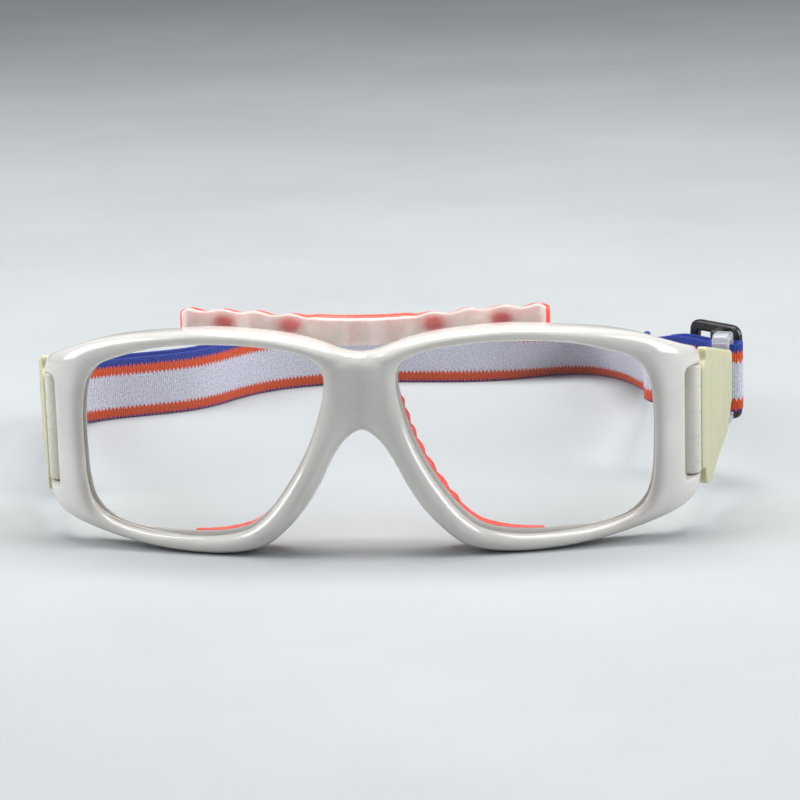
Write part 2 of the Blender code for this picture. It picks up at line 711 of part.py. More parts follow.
def make_slider():
    """Flat ring with two legs, and a raised bar between the strap's layers."""
    low, high = SLIDER_Z
    outer = [(0.0, low), (SLIDER_LENGTH, low), (SLIDER_LENGTH, high), (0.0, high)]
    window = [(SLIDER_BAR, low + SLIDER_BAR), (SLIDER_LENGTH - SLIDER_BAR, low + SLIDER_BAR),
              (SLIDER_LENGTH - SLIDER_BAR, high - SLIDER_BAR), (SLIDER_BAR, high - SLIDER_BAR)]
    outlines = [rounded_outline(outer, 2.8), rounded_outline(window, 0.8, 2)]
    plane = upright_plane(SLIDER_START, SLIDER_ANGLE)
    slider = flat_plate("strap_slider", outlines, SLIDER_THICKNESS, plane, BLACK)
    near, far = LOOP_BAR_DEPTH
    bottom, top = low + SLIDER_BAR, high - SLIDER_BAR
    staple = [(0.0, low + 1.0), (-far, low + 1.0), (-far, high - 1.0), (0.0, high - 1.0),
              (0.0, top), (-near, top), (-near, bottom), (0.0, bottom)]
    start, end = LOOP_BAR_T
    middle = slider_spot((start + end) / 2, 0.0, 0.0)
    across = upright_plane(middle, SLIDER_ANGLE - math.pi / 2)
    loop_bar = flat_plate("loop_bar", [staple], end - start, across, BLACK)
    boolean(slider, loop_bar, "UNION")
    return slider


def make_strap():
    """The band and the folded tail at its left end."""
    points = [Vector(point) for point in BAND_ROUTE]
    ribbon("strap_band", smooth_route(points, STRAP_STEP), WEBBING)
    doubled = smooth_route(points[:TAIL_END_POINT + 1], STRAP_STEP)
    tail = beside(doubled, TAIL_OFFSET, TAIL_LIFT)
    ribbon("strap_tail_left", tail, WEBBING)
    return tail


def make_bar_tack(name, spot, direction):
    angle = math.atan2(direction.y, direction.x)
    matrix = Matrix.Translation(spot) @ Matrix.Rotation(angle, 4, "Z")
    tack = box(name, TACK_SIZE, matrix, THREAD)
    bevel = tack.modifiers.new("Soft edges", "BEVEL")
    bevel.width = 0.15 * MM
    bevel.segments = 1


def make_bar_tacks(tail):
    """Blocks of stitches that hem the folded tail and the free end at the slider."""
    clearance = STRAP_THICKNESS / 2 + GAP + TACK_SIZE[1] / 2
    direction = tail[-1] - tail[-3]
    left = Vector((-direction.y, direction.x, 0.0)).normalized()
    make_bar_tack("bar_tack_left", tail[-2] + left * clearance, direction)
    spot = slider_spot(FREE_END - 1.2, FAR_LAYER - clearance, SLIDER_STRAP_Z)
    make_bar_tack("bar_tack_right", spot, slider_spot(1, 0, 0) - slider_spot(0, 0, 0))


# ---------------------------------------------------------------- moving pieces

def hang_on(name, spot, parent, children):
    """An empty on a joint's axis, which carries the pieces that move with it."""
    pivot = bpy.data.objects.new(name, None)
    PARTS.objects.link(pivot)
    pivot.parent = parent
    pivot.location = Vector(spot) * MM
    for child in children:
        obj = bpy.data.objects[child]
        obj.parent = pivot
        obj.location = -pivot.location
    return pivot


# ---------------------------------------------------------------- assembly

clear_scene()
PARTS = new_collection("sports_goggles")
CUTTERS = new_collection("cutters")
ROOT = bpy.data.objects.new("goggles_origin", None)
ROOT.location = (ORIGIN_SHIFT[0] * MM, ORIGIN_SHIFT[1] * MM, 0.0)
PARTS.objects.link(ROOT)

IVORY = make_material("ivory_gloss", (0.80, 0.79, 0.75), 0.18)
CLEAR = make_material("clear_lens", (0.95, 0.96, 0.96), 0.03, alpha=0.3, transmission=1.0)
CORAL = make_material("coral_elastomer", (0.90, 0.16, 0.08), 0.35)
PALE_GREEN = make_material("pale_green_elastomer", (0.74, 0.76, 0.52), 0.35)
MILKY = make_material("milky_clear", (0.86, 0.88, 0.90), 0.2, alpha=0.6)
WEBBING = make_material("webbing", (0.85, 0.85, 0.92), 0.85)
THREAD = make_material("thread", (0.82, 0.82, 0.88), 0.8)
BLACK = make_material("black_plastic", (0.015, 0.015, 0.017), 0.4)
STEEL = make_material("steel_pin", (0.62, 0.62, 0.63), 0.3)

make_front_frame()
make_brow_bar()
make_brow_pad()
for side_name, side_sign in (("left", -1), ("right", 1)):
    make_lens("lens_" + side_name, side_sign)
    make_nose_pad("nose_pad_" + side_name, side_sign)
    cylinder("hinge_pin_" + side_name, PIN_RADIUS, *PIN_Z, hinge_point(side_sign), STEEL, 20)
    make_arm("strap_arm_" + side_name, side_sign)
    make_keeper("strap_keeper_" + side_name, side_sign)

make_right_end()
make_left_end()
make_slider()
make_bar_tacks(make_strap())

hang_on("arm_left_swing", hinge_point(-1), ROOT, ("strap_arm_left", "strap_keeper_left", "strap_end_left"))
right_arm = hang_on("arm_right_swing", hinge_point(1), ROOT,
                    ("strap_arm_right", "strap_keeper_right", "strap_end_right", "bar_tack_right"))
slider_pivot = hang_on("slider_slide", (*SLIDER_START, 0.0), ROOT, ("strap_slider",))
slider_pivot.parent = right_arm
slider_pivot.location -= right_arm.location
bpy.context.view_layer.update()
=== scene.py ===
import math

import bmesh
import bpy
from mathutils import Matrix, Vector, kdtree, noise


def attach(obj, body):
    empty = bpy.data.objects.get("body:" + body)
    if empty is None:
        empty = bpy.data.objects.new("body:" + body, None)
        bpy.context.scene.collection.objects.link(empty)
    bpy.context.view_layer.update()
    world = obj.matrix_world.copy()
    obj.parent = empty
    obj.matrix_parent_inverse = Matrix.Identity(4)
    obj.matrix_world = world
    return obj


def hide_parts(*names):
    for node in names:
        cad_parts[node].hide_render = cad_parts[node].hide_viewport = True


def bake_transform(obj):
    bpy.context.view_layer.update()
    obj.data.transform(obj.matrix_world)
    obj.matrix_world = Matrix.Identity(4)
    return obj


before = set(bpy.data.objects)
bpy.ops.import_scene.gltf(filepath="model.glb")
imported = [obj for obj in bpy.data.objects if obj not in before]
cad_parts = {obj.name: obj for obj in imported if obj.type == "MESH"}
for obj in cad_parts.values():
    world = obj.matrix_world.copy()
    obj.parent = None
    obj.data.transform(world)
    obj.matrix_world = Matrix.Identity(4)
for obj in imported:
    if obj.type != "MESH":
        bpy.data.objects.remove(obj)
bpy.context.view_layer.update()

MM = 0.001
ORIGIN_SHIFT = Vector((3.1, -95.4, 0.0))
SIDES = (("left", -1), ("right", 1))

FACE_RADIUS = 165.0
FACE_HALF_WIDTH = 63.5
TURN_RADIUS = 20.0
TEMPLE_ANGLE = math.radians(69.0)
TEMPLE_END = 86.0
RIM_DEPTH = 9.0
TEMPLE_DEPTH = 5.2
THINNING = (67.0, 80.0)
ROUNDING = 9.0
GROOVE = 0.8
LIP = 0.25
LENS_BITE = 0.5
LENS_FRONT = 3.3
LENS_THICKNESS = 2.0
INNER_ROUND = 2.6              # how deep the front rounds off towards the lens, and towards the outside
OUTER_ROUND = 3.2
REAR_ROUND = 2.4
VALLEY = 1.1                   # how far the bridge dips between the two nasal rims
VALLEY_HALF_WIDTH = 7.5
REAR_SHARE = 0.36              # how much of the rim's width each rear rounding takes
FRONT_STEPS = 7
STATIONS_PER_ROW = 6

HINGE_ALONG = 83.0
PIN_RADIUS = 1.15
PIN_Z = (10.7, 40.1)
BARREL_RADIUS = 2.6
NOTCH_Z = (12.4, 38.3)
NOTCH_FRONT = 3.0
POCKET_FRONT = 7.2
POCKET_DEPTH = 2.6
NOTCH_FLARE = 0.9
CORNER_STEPS = 5

ARM_SPLAY = math.radians(13.5)
ARM_THICKNESS = 2.2
ARM_OFFSET = 1.9
ARM_OUTLINE = [
    (0.0, 13.2), (3.8, 13.2), (3.8, 9.6), (7.5, 8.0), (27.5, 16.2), (32.5, 23.8),
    (32.5, 34.4), (3.8, 41.2), (3.8, 37.6), (0.0, 37.6),
]
KEEPER_U = (32.8, 39.8)
KEEPER_Z = (15.8, 37.8)
KEEPER_WINDOW_U = (35.0, 38.0)
KEEPER_WINDOW_Z = (18.1, 35.5)
KEEPER_THICKNESS = 4.0
KEEPER_OFFSET = {1: -0.15, -1: -1.6}
KEEPER_LIFT = {1: 0.0, -1: -5.5}

STRAP_WIDTH = 16.5
STRAP_THICKNESS = 1.1
TAIL_OFFSET = 1.55
TAIL_LIFT = 0.8
SLIDER_START = (85.4, 67.4)
SLIDER_ANGLE = math.radians(134.4)
SLIDER_LENGTH = 16.4
SLIDER_Z = (15.0, 38.0)
SLIDER_BAR = 2.6
SLIDER_THICKNESS = 1.8
LOOP_BAR_T = (4.4, 6.6)
LOOP_BAR_DEPTH = (2.6, 3.8)
FAR_LAYER = -1.75
NEAR_LAYER = -4.65
FREE_END = 21.5
SLIDER_STRAP_Z = sum(SLIDER_Z) / 2 - 0.3
KEEPER_STRAP_Z = sum(KEEPER_WINDOW_Z) / 2
TACK_SIZE = (1.6, 0.5, 11.0)

# Stripes of the webbing from its lower edge up, in millimetres.
STRIPES = (0.5, 3.1, 12.1, 14.5)

# Rows round the +X lens opening: lens edge and outer edge, each (along the wrap, z).
RIM_ROWS = [
    ((8.6, 43.0), (0.0, 46.1)), ((10.5, 44.8), (4.0, 46.6)), ((14.0, 46.2), (9.5, 48.5)),
    ((19.0, 47.2), (16.5, 50.1)), ((26.5, 47.9), (25.0, 51.0)), ((34.5, 47.9), (35.0, 51.3)),
    ((42.0, 47.4), (44.0, 50.6)), ((49.0, 46.3), (52.5, 49.7)), ((56.0, 44.3), (60.5, 48.4)),
    ((61.3, 42.2), (68.0, 46.5)), ((64.2, 39.4), (77.0, 43.7)), ((65.6, 36.0), (84.0, 41.5)),
    ((66.25, 32.0), (TEMPLE_END, 37.0)), ((66.55, 27.5), (TEMPLE_END, 28.0)),
    ((66.45, 21.5), (TEMPLE_END, 20.0)), ((66.1, 15.5), (TEMPLE_END, 13.2)), ((64.8, 10.6), (83.3, 8.6)),
    ((61.8, 7.3), (76.0, 6.2)), ((57.2, 5.4), (67.5, 4.2)), ((51.0, 4.3), (57.0, 1.9)),
    ((44.5, 3.9), (47.0, 0.5)), ((37.0, 3.9), (37.0, 0.0)), ((31.0, 4.6), (29.0, 0.5)),
    ((25.8, 6.2), (22.5, 2.4)), ((21.7, 9.5), (17.6, 6.2)), ((18.2, 13.9), (13.4, 10.9)),
    ((14.9, 19.0), (10.0, 16.2)), ((12.3, 24.0), (7.0, 22.0)), ((10.5, 28.5), (4.0, 26.3)),
    ((9.1, 33.0), (0.0, 28.7)), ((8.3, 36.8), (0.0, 35.5)), ((8.0, 40.2), (0.0, 42.0)),
]
BRIDGE_ROWS = (29, 32)
NOSE_PAD_ROWS = (20.6, 31.0)
NOSE_PAD_FRONT = 9.3
NOSE_PAD_SET = {1: 0.0, -1: 0.4}    # the left pad sits a little further from the lens
RIB_ROWS = (24.0, 29.6)
RIB_COUNT = 7
RIB_HEIGHT = 0.5

BROW_HALF_WIDTH = 44.0
BROW_PAD_HALF_WIDTH = 45.6
BROW_BOTTOM = 46.6
BROW_BAR_DEPTH = (9.3, 11.3)
BROW_PAD_DEPTH = (11.6, 15.2)
SCALLOP_PITCH = 8.75
SCALLOP_FIRST = 16.7
SCALLOP_HEIGHT = 0.35
BROW_TOP = 52.6
BROW_RISE = 1.6
VENT_ALONG = (17.2, 33.4)
VENT_Z = 50.9
HOLLOW_SIZE = (3.1, 2.1)

BAND_ROUTE = [
    (-85.0, 84.6, 20.2), (-86.8, 92.0, 18.4), (-88.7, 100.0, 16.6), (-90.3, 110.0, 14.2),
    (-90.9, 119.0, 12.0), (-90.3, 128.0, 9.9), (-87.0, 135.5, 8.6), (-81.5, 140.2, 8.3),
    (-74.5, 143.4, 8.3), (-66.5, 146.8, 8.3), (-60.0, 150.8, 8.3), (-54.8, 156.6, 8.3),
    (-50.3, 163.8, 8.3), (-44.8, 170.6, 8.3), (-37.5, 176.0, 8.3), (-28.0, 179.8, 8.3),
    (-18.0, 181.5, 8.3), (-7.0, 182.6, 8.3), (5.0, 182.0, 8.3), (15.0, 182.0, 8.3),
    (24.0, 184.0, 8.3), (33.0, 188.0, 8.3), (41.0, 190.2, 8.3), (48.0, 188.9, 8.3),
    (53.5, 184.5, 8.3), (58.5, 177.0, 8.4), (61.3, 168.0, 8.8), (62.8, 155.0, 10.8),
    (63.3, 140.0, 14.0), (63.1, 120.0, 19.0), (62.7, 100.0, 23.6), (62.7, 90.0, 25.5),
]
TAIL_END_POINT = 13
RIGHT_JOIN = 6                 # band points before the right piece ends, and after the left one starts
LEFT_JOIN = 11
STRAP_SAG = 1.8
STRAP_LEAN = math.radians(21.0)
THREAD_RADIUS = 0.16

OBJECT_MIDDLE = (0.0, -0.03, 0.03)
FLOOR_HALF = 3.0
CAMERA_LENS = 132.96
CAMERA_SHIFT = 0.0494
CAMERA_ANGLES = (5.068, 13.5, -1.773)    # azimuth, elevation and roll, in degrees
CAMERA_PLACE = (0.06775, -0.72497, 0.17909)


# ---------------- plain helpers

def lerp(a, b, t):
    return a + (b - a) * t


def smoothstep(t):
    t = min(max(t, 0.0), 1.0)
    return t * t * (3 - 2 * t)


def catmull(p0, p1, p2, p3, t):
    return 0.5 * (2 * p1 + (p2 - p0) * t + (2 * p0 - 5 * p1 + 4 * p2 - p3) * t * t
                  + (3 * p1 - p0 - 3 * p2 + p3) * t ** 3)


def quad_at(points, i):
    """The four points that shape the stretch after point i."""
    return [Vector(points[k]) for k in (max(i - 1, 0), i, i + 1, min(i + 2, len(points) - 1))]


def smooth_route(points, step):
    route = []
    for i in range(len(points) - 1):
        quad = quad_at(points, i)
        pieces = max(1, round((quad[2] - quad[1]).length / step))
        for k in range(pieces):
            route.append(catmull(*quad, k / pieces))
    route.append(Vector(points[-1]))
    return route


def rounded_outline(corners, radius, steps=6):
    outline = []
    count = len(corners)
    for i, corner in enumerate(corners):
        here = Vector(corner)
        before = Vector(corners[i - 1]) - here
        after = Vector(corners[(i + 1) % count]) - here
        reach = min(radius, before.length * 0.45, after.length * 0.45)
        start = here + before.normalized() * reach
        end = here + after.normalized() * reach
        for k in range(steps + 1):
            t = k / steps
            outline.append(start * (1 - t) ** 2 + here * 2 * t * (1 - t) + end * t * t)
    return outline


def rectangle(us, zs):
    return [(us[0], zs[0]), (us[1], zs[0]), (us[1], zs[1]), (us[0], zs[1])]


def level_axes(angle):
    """The level direction at an angle from +X, and the one to its right."""
    return Vector((math.cos(angle), math.sin(angle), 0.0)), Vector((math.sin(angle), -math.cos(angle), 0.0))


def wrap(along, depth, z):
    """A point on the wrapped sheet."""
    side = -1.0 if along < 0 else 1.0
    along = abs(along)
    first = math.asin(FACE_HALF_WIDTH / FACE_RADIUS)
    face_length = FACE_RADIUS * first
    turn_length = TURN_RADIUS * (TEMPLE_ANGLE - first)
    angle = min(along, face_length) / FACE_RADIUS
    x = FACE_RADIUS * math.sin(angle)
    y = FACE_RADIUS * (1 - math.cos(angle))
    if along > face_length:
        angle = first + min(along - face_length, turn_length) / TURN_RADIUS
        x += TURN_RADIUS * (math.sin(angle) - math.sin(first))
        y += TURN_RADIUS * (math.cos(first) - math.cos(angle))
    if along > face_length + turn_length:
        rest = along - face_length - turn_length
        x += rest * math.cos(TEMPLE_ANGLE)
        y += rest * math.sin(TEMPLE_ANGLE)
    return Vector((side * (x - depth * math.sin(angle)), y + depth * math.cos(angle), z))


def rim_row(t):
    """Lens edge and outer edge at row t, which may lie between two rows."""
    count = len(RIM_ROWS)
    i = int(math.floor(t))
    rows = [RIM_ROWS[(i + k) % count] for k in (-1, 0, 1, 2)]
    inner = catmull(*[Vector(row[0]) for row in rows], t - i)
    edge = [Vector(row[1]) for row in rows]
    if i == 0:
        edge[0] = Vector((-edge[2].x, edge[2].y))
    if i == BRIDGE_ROWS[0] - 1:
        edge[3] = Vector((-edge[1].x, edge[1].y))
    outer = catmull(*edge, t - i)
    outer.x = min(outer.x, TEMPLE_END)
    if meets_middle(t):
        outer.x = 0.0
    return inner, outer


def meets_middle(t):
    return BRIDGE_ROWS[0] <= t <= BRIDGE_ROWS[1] or t == 0


def sheet_point(side, spot, depth, straight):
    """A point behind the sheet: square to it, or straight back as the lens opening is moulded."""
    front = wrap(side * spot.x, 0.0, spot.y)
    square = wrap(side * spot.x, depth, spot.y)
    return square.lerp(front + Vector((0.0, depth, 0.0)), straight)


def straightness(reach, edge):
    return smoothstep((edge - reach) / (0.7 * edge))


def outer_line():
    """The front's outer edge on the sheet, with the nearby parts of the other half."""
    steps = BRIDGE_ROWS[0] * 4
    line = [rim_row(i / 4)[1] for i in range(steps + 1)]
    mirrored = [Vector((-spot.x, spot.y)) for spot in line]
    return line, mirrored[:12], mirrored[-12:]


def line_distance(spot, lines):
    nearest = math.inf
    for line in lines:
        for a, b in zip(line, line[1:]):
            run = b - a
            t = min(max((spot - a).dot(run) / max(run.length_squared, 1e-9), 0.0), 1.0)
            nearest = min(nearest, (spot - a - run * t).length_squared)
    return math.sqrt(nearest)


def round_off(distance, reach, drop):
    """How far an elliptic edge drops at a distance from its end."""
    t = 1.0 - min(max(distance / reach, 0.0), 1.0)
    return drop * (1.0 - math.sqrt(1.0 - t * t))


def local_depth(along):
    t = (abs(along) - THINNING[0]) / (THINNING[1] - THINNING[0])
    return lerp(1.0, TEMPLE_DEPTH / RIM_DEPTH, smoothstep(t))


def hinge_point(side):
    return wrap(side * HINGE_ALONG, TEMPLE_DEPTH / 2, 0.0)


def arm_angle(side):
    return math.pi / 2 - side * ARM_SPLAY


# ---------------- mesh makers

def new_object(name, data):
    obj = bpy.data.objects.new(name, data)
    bpy.context.scene.collection.objects.link(obj)
    return obj


def evaluated_mesh(obj):
    evaluated = obj.evaluated_get(bpy.context.evaluated_depsgraph_get())
    return bpy.data.meshes.new_from_object(evaluated)


def finish_mesh(name, bm, material, sharp=40.0):
    """Turn millimetres into metres and make the named object."""
    bmesh.ops.recalc_face_normals(bm, faces=bm.faces)
    bmesh.ops.translate(bm, vec=ORIGIN_SHIFT, verts=bm.verts)
    bmesh.ops.scale(bm, vec=(MM, MM, MM), verts=bm.verts)
    mesh = bpy.data.meshes.new(name)
    bm.to_mesh(mesh)
    bm.free()
    mesh.shade_smooth()
    mesh.set_sharp_from_angle(angle=math.radians(sharp))
    mesh.materials.append(material)
    return new_object(name, mesh)


def store(obj, name, values):
    """One number per vertex, which the materials read."""
    attribute = obj.data.attributes.new(name, "FLOAT", "POINT")
    attribute.data.foreach_set("value", values)


def loft(sections, ring=False, capped=True, skip_face=None):
    bm = bmesh.new()
    grid = [[bm.verts.new(point) for point in section] for section in sections]
    count = len(sections)
    size = len(sections[0])
    for i in range(count if ring else count - 1):
        after = (i + 1) % count
        for k in range(size):
            if skip_face and skip_face(i, k):
                continue
            nxt = (k + 1) % size
            bm.faces.new((grid[i][k], grid[i][nxt], grid[after][nxt], grid[after][k]))
    if capped and not ring:
        bm.faces.new(list(reversed(grid[0])))
        bm.faces.new(grid[-1])
    return bm


def upright_plane(origin, angle, offset=0.0):
    """Maps (u, z, thickness): u runs level at the angle from +X, and offset moves sideways."""
    forward, sideways = level_axes(angle)
    matrix = Matrix.Identity(4)
    matrix.col[0] = (*forward, 0.0)
    matrix.col[1] = (0.0, 0.0, 1.0, 0.0)
    matrix.col[2] = (*sideways, 0.0)
    matrix.col[3] = (*(Vector((origin[0], origin[1], 0.0)) + sideways * offset), 1.0)
    return matrix


def plate_bmesh(outlines, thickness, matrix, round_edge, segments=3):
    """A flat plate with holes and rounded edges, as a bmesh in millimetres."""
    curve = bpy.data.curves.new("outline", "CURVE")
    curve.dimensions = "2D"
    curve.fill_mode = "BOTH"
    curve.extrude = thickness / 2 - round_edge
    curve.bevel_depth = round_edge
    curve.bevel_resolution = segments
    curve.offset = -round_edge
    for outline in outlines:
        spline = curve.splines.new("POLY")
        spline.points.add(len(outline) - 1)
        for point, (a, b) in zip(spline.points, outline):
            point.co = (a, b, 0.0, 1.0)
        spline.use_cyclic_u = True
    holder = new_object("outline", curve)
    mesh = evaluated_mesh(holder)
    bm = bmesh.new()
    bm.from_mesh(mesh)
    bpy.data.objects.remove(holder, do_unlink=True)
    bpy.data.curves.remove(curve)
    bpy.data.meshes.remove(mesh)
    bmesh.ops.remove_doubles(bm, verts=bm.verts, dist=0.001)
    bmesh.ops.transform(bm, matrix=matrix, verts=bm.verts)
    return bm


def merge_bmesh(target, source):
    mesh = bpy.data.meshes.new("merge")
    source.to_mesh(mesh)
    source.free()
    target.from_mesh(mesh)
    bpy.data.meshes.remove(mesh)


def turned_bmesh(profile, centre, segments=32):
    """A turned shape round an upright axis, from (radius, z) pairs."""
    sections = []
    for i in range(segments):
        a = math.tau * i / segments
        sections.append([Vector((centre.x + r * math.cos(a), centre.y + r * math.sin(a), z))
                         for r, z in profile])
    bm = loft(sections, ring=True, capped=False,
                     skip_face=lambda i, k: k == len(profile) - 1)
    bmesh.ops.remove_doubles(bm, verts=bm.verts, dist=0.0005)
    return bm


# ---------------- materials

class Look:
    """A material with one Principled shader and short calls for its nodes."""

    def __init__(self, name, **inputs):
        self.material = bpy.data.materials.new(name)
        self.material.use_nodes = True
        self.tree = self.material.node_tree
        self.shader = self.tree.nodes["Principled BSDF"]
        for key, value in inputs.items():
            socket = self.shader.inputs[key.replace("_", " ")]
            socket.default_value = (*value, 1.0) if key == "Base_Color" else value

    def node(self, kind, links=None, **settings):
        made = self.tree.nodes.new(kind)
        for key, value in settings.items():
            if key in made.inputs.keys():
                made.inputs[key].default_value = value
            else:
                setattr(made, key, value)
        for key, source in (links or {}).items():
            self.tree.links.new(source, made.inputs[key])
        return made

    def position(self):
        return self.node("ShaderNodeTexCoord").outputs["Object"]

    def attribute(self, name):
        return self.node("ShaderNodeAttribute", attribute_name=name).outputs["Fac"]

    def noise(self, scale, detail=3.0, rough=0.5, vector=None):
        made = self.node("ShaderNodeTexNoise", {"Vector": vector or self.position()},
                         Scale=scale, Detail=detail, Roughness=rough)
        return made.outputs["Fac"]

    def plug(self, socket, value):
        """Set a socket to a number or a colour, or link it to another node."""
        if isinstance(value, (int, float)):
            socket.default_value = value
        elif isinstance(value, tuple):
            socket.default_value = (*value, 1.0)
        else:
            self.tree.links.new(value, socket)

    def math(self, operation, a, b=0.0):
        made = self.node("ShaderNodeMath", operation=operation)
        self.plug(made.inputs[0], a)
        self.plug(made.inputs[1], b)
        return made.outputs[0]

    def ramp(self, source, low, high, out_low=0.0, out_high=1.0):
        made = self.node("ShaderNodeMapRange", {"Value": source}, interpolation_type="SMOOTHSTEP")
        for name, value in (("From Min", low), ("From Max", high), ("To Min", out_low), ("To Max", out_high)):
            made.inputs[name].default_value = value
        return made.outputs["Result"]

    def mix(self, factor, a, b, blend="MIX"):
        made = self.node("ShaderNodeMix", data_type="RGBA", blend_type=blend)
        for index, value in ((0, factor), (6, a), (7, b)):
            self.plug(made.inputs[index], value)
        return made.outputs[2]

    def vector(self, x, y, z):
        made = self.node("ShaderNodeCombineXYZ")
        for socket, value in zip(made.inputs, (x, y, z)):
            self.plug(socket, value)
        return made.outputs[0]

    def bump(self, height, distance, strength=1.0):
        made = self.node("ShaderNodeBump", {"Height": height}, Strength=strength, Distance=distance)
        self.set("Normal", made.outputs["Normal"])

    def set(self, name, source):
        self.tree.links.new(source, self.shader.inputs[name])

    def colour(self, source, a, b, low=0.3, high=0.7):
        """Base colour from a to b as the source goes from low to high."""
        self.set("Base Color", self.mix(self.ramp(source, low, high), a, b))

    def rough(self, source, a, b, low=0.3, high=0.7):
        self.set("Roughness", self.ramp(source, low, high, a, b))


def ivory_look():
    """Injection-moulded pearl ivory with a clear gloss, and painted shade darkening the lens grooves."""
    look = Look("ivory_gloss", Subsurface_Weight=0.25, Subsurface_Scale=0.0022, Coat_Weight=0.5,
                Coat_Roughness=0.045, IOR=1.5, Subsurface_Radius=(1.0, 0.8, 0.6))
    cloud = look.noise(70.0, 4.0, 0.55)
    flake = look.noise(2600.0, 2.0, 0.6)
    body = look.mix(look.ramp(cloud, 0.3, 0.7), (0.60, 0.585, 0.555), (0.665, 0.65, 0.62))
    pearl = look.mix(look.ramp(flake, 0.62, 0.8, 0.0, 0.35), body, (0.80, 0.80, 0.79))
    # Painted shade: the lens grooves, marked by the groove attribute, are darkened to near black.
    shadow = look.ramp(look.attribute("groove"), 0.25, 0.95, 0.0, 0.85)
    look.set("Base Color", look.mix(shadow, pearl, (0.10, 0.085, 0.075)))
    haze = look.noise(160.0, 5.0, 0.6)
    lines = look.vector(look.math("MULTIPLY", look.noise(45.0), 30.0), look.noise(700.0), 0.0)
    scratch = look.noise(9.0, 6.0, vector=lines)
    look.set("Roughness", look.math("ADD", look.ramp(haze, 0.35, 0.7, 0.13, 0.22),
                                    look.ramp(scratch, 0.62, 0.72, 0.0, 0.09)))
    look.bump(look.noise(420.0, 3.0, 0.5), 0.00002, 0.5)
    return look.material


def cream_look():
    """Cream knuckle, half way between the frame's ivory and the arm's green."""
    look = Look("cream_knuckle", Subsurface_Weight=0.3, Subsurface_Scale=0.002, IOR=1.47, Coat_Weight=0.2,
                Coat_Roughness=0.1)
    look.colour(look.noise(150.0, 4.0, 0.55), (0.615, 0.60, 0.53), (0.65, 0.635, 0.565))
    look.rough(look.noise(500.0, 3.0), 0.24, 0.36)
    look.bump(look.noise(900.0, 3.0, 0.55), 0.00002, 0.5)
    return look.material


def milky_look():
    """Translucent white overmould, with painted glow of the coral pad behind it: pink in the vent hollows,
    along the top edge and on the rear.
    """
    look = Look("brow_milky", Subsurface_Weight=0.55, Subsurface_Scale=0.003, IOR=1.45,
                Coat_Weight=0.25, Coat_Roughness=0.15, Subsurface_Radius=(1.0, 0.45, 0.4))
    uneven = look.noise(260.0, 4.0, 0.55)
    white = look.mix(look.ramp(uneven, 0.3, 0.7), (0.76, 0.60, 0.56), (0.84, 0.76, 0.73))
    # Painted glow: the coral pad's colour painted into the white where it would shine through.
    glow = look.math("ADD", look.attribute("coral_glow_through"), look.ramp(uneven, 0.35, 0.75, -0.10, 0.12))
    look.colour(glow, white, (0.66, 0.20, 0.19), 0.05, 1.0)
    look.rough(look.noise(500.0, 4.0), 0.22, 0.38)
    look.bump(look.noise(900.0, 3.0, 0.55), 0.00004, 0.5)
    return look.material


def coral_look():
    """Translucent coral elastomer."""
    look = Look("coral_elastomer", Subsurface_Weight=0.6, Subsurface_Scale=0.0035, IOR=1.43,
                Subsurface_Radius=(1.0, 0.28, 0.2))
    look.colour(look.noise(180.0, 4.0, 0.6), (0.92, 0.085, 0.06), (0.98, 0.16, 0.11))
    look.rough(look.noise(600.0, 3.0), 0.26, 0.44)
    look.bump(look.noise(1500.0, 3.0, 0.55), 0.00003, 0.5)
    return look.material


def green_look():
    """Pale yellow-green elastomer with faint upright bands from the mould's flow."""
    look = Look("pale_green_elastomer", Subsurface_Weight=0.45, Subsurface_Scale=0.003, IOR=1.44,
                Subsurface_Radius=(1.0, 0.95, 0.45))
    across = look.vector(look.math("MULTIPLY", look.attribute("run"), 0.28), 0.0, 0.0)
    bands = look.noise(1.0, 3.0, 0.6, vector=across)
    fleck = look.noise(300.0, 4.0, 0.6)
    tone = look.math("ADD", look.math("MULTIPLY", bands, 0.75), look.math("MULTIPLY", fleck, 0.25))
    look.colour(tone, (0.47, 0.46, 0.29), (0.545, 0.535, 0.36))
    look.rough(fleck, 0.34, 0.5)
    look.bump(look.noise(1100.0, 3.0, 0.6), 0.00003, 0.6)
    return look.material


def clear_look():
    """Milky clear moulding, cloudy inside."""
    look = Look("milky_clear", Transmission_Weight=0.72, IOR=1.46, Subsurface_Weight=0.2,
                Subsurface_Scale=0.002)
    cloud = look.noise(240.0, 3.0, 0.5)
    look.colour(cloud, (0.84, 0.88, 0.95), (0.95, 0.97, 1.0))
    look.rough(cloud, 0.08, 0.22, 0.35, 0.65)
    look.bump(look.noise(700.0, 2.0), 0.00003, 0.4)
    return look.material


def lens_look():
    """Hard-coated clear polycarbonate with a little dust."""
    look = Look("lens_clear", Base_Color=(0.97, 0.98, 0.98), IOR=1.5, Specular_IOR_Level=0.5)
    dust = look.noise(1900.0, 4.0, 0.7)
    look.set("Alpha", look.ramp(dust, 0.60, 0.85, 0.018, 0.05))
    look.rough(look.noise(120.0, 4.0), 0.015, 0.06)
    return look.material


def black_look():
    """Moulded black plastic, satin, a little uneven in tone and gloss."""
    look = Look("black_plastic", IOR=1.5)
    wear = look.noise(220.0, 4.0, 0.6)
    look.colour(wear, (0.010, 0.010, 0.011), (0.026, 0.026, 0.028), 0.45, 0.75)
    look.rough(wear, 0.22, 0.38)
    look.bump(look.noise(1400.0, 4.0, 0.6), 0.00003, 0.5)
    return look.material


def steel_look():
    """Drawn steel wire."""
    look = Look("steel_pin", Metallic=1.0)
    drawn_out = look.node("ShaderNodeMapping", {"Vector": look.position()}, Scale=(1.0, 1.0, 0.02))
    drawn = look.noise(4000.0, 3.0, vector=drawn_out.outputs[0])
    look.set("Base Color", look.mix(drawn, (0.50, 0.50, 0.51), (0.68, 0.68, 0.69)))
    look.rough(drawn, 0.22, 0.42)
    look.bump(drawn, 0.00001, 0.5)
    return look.material


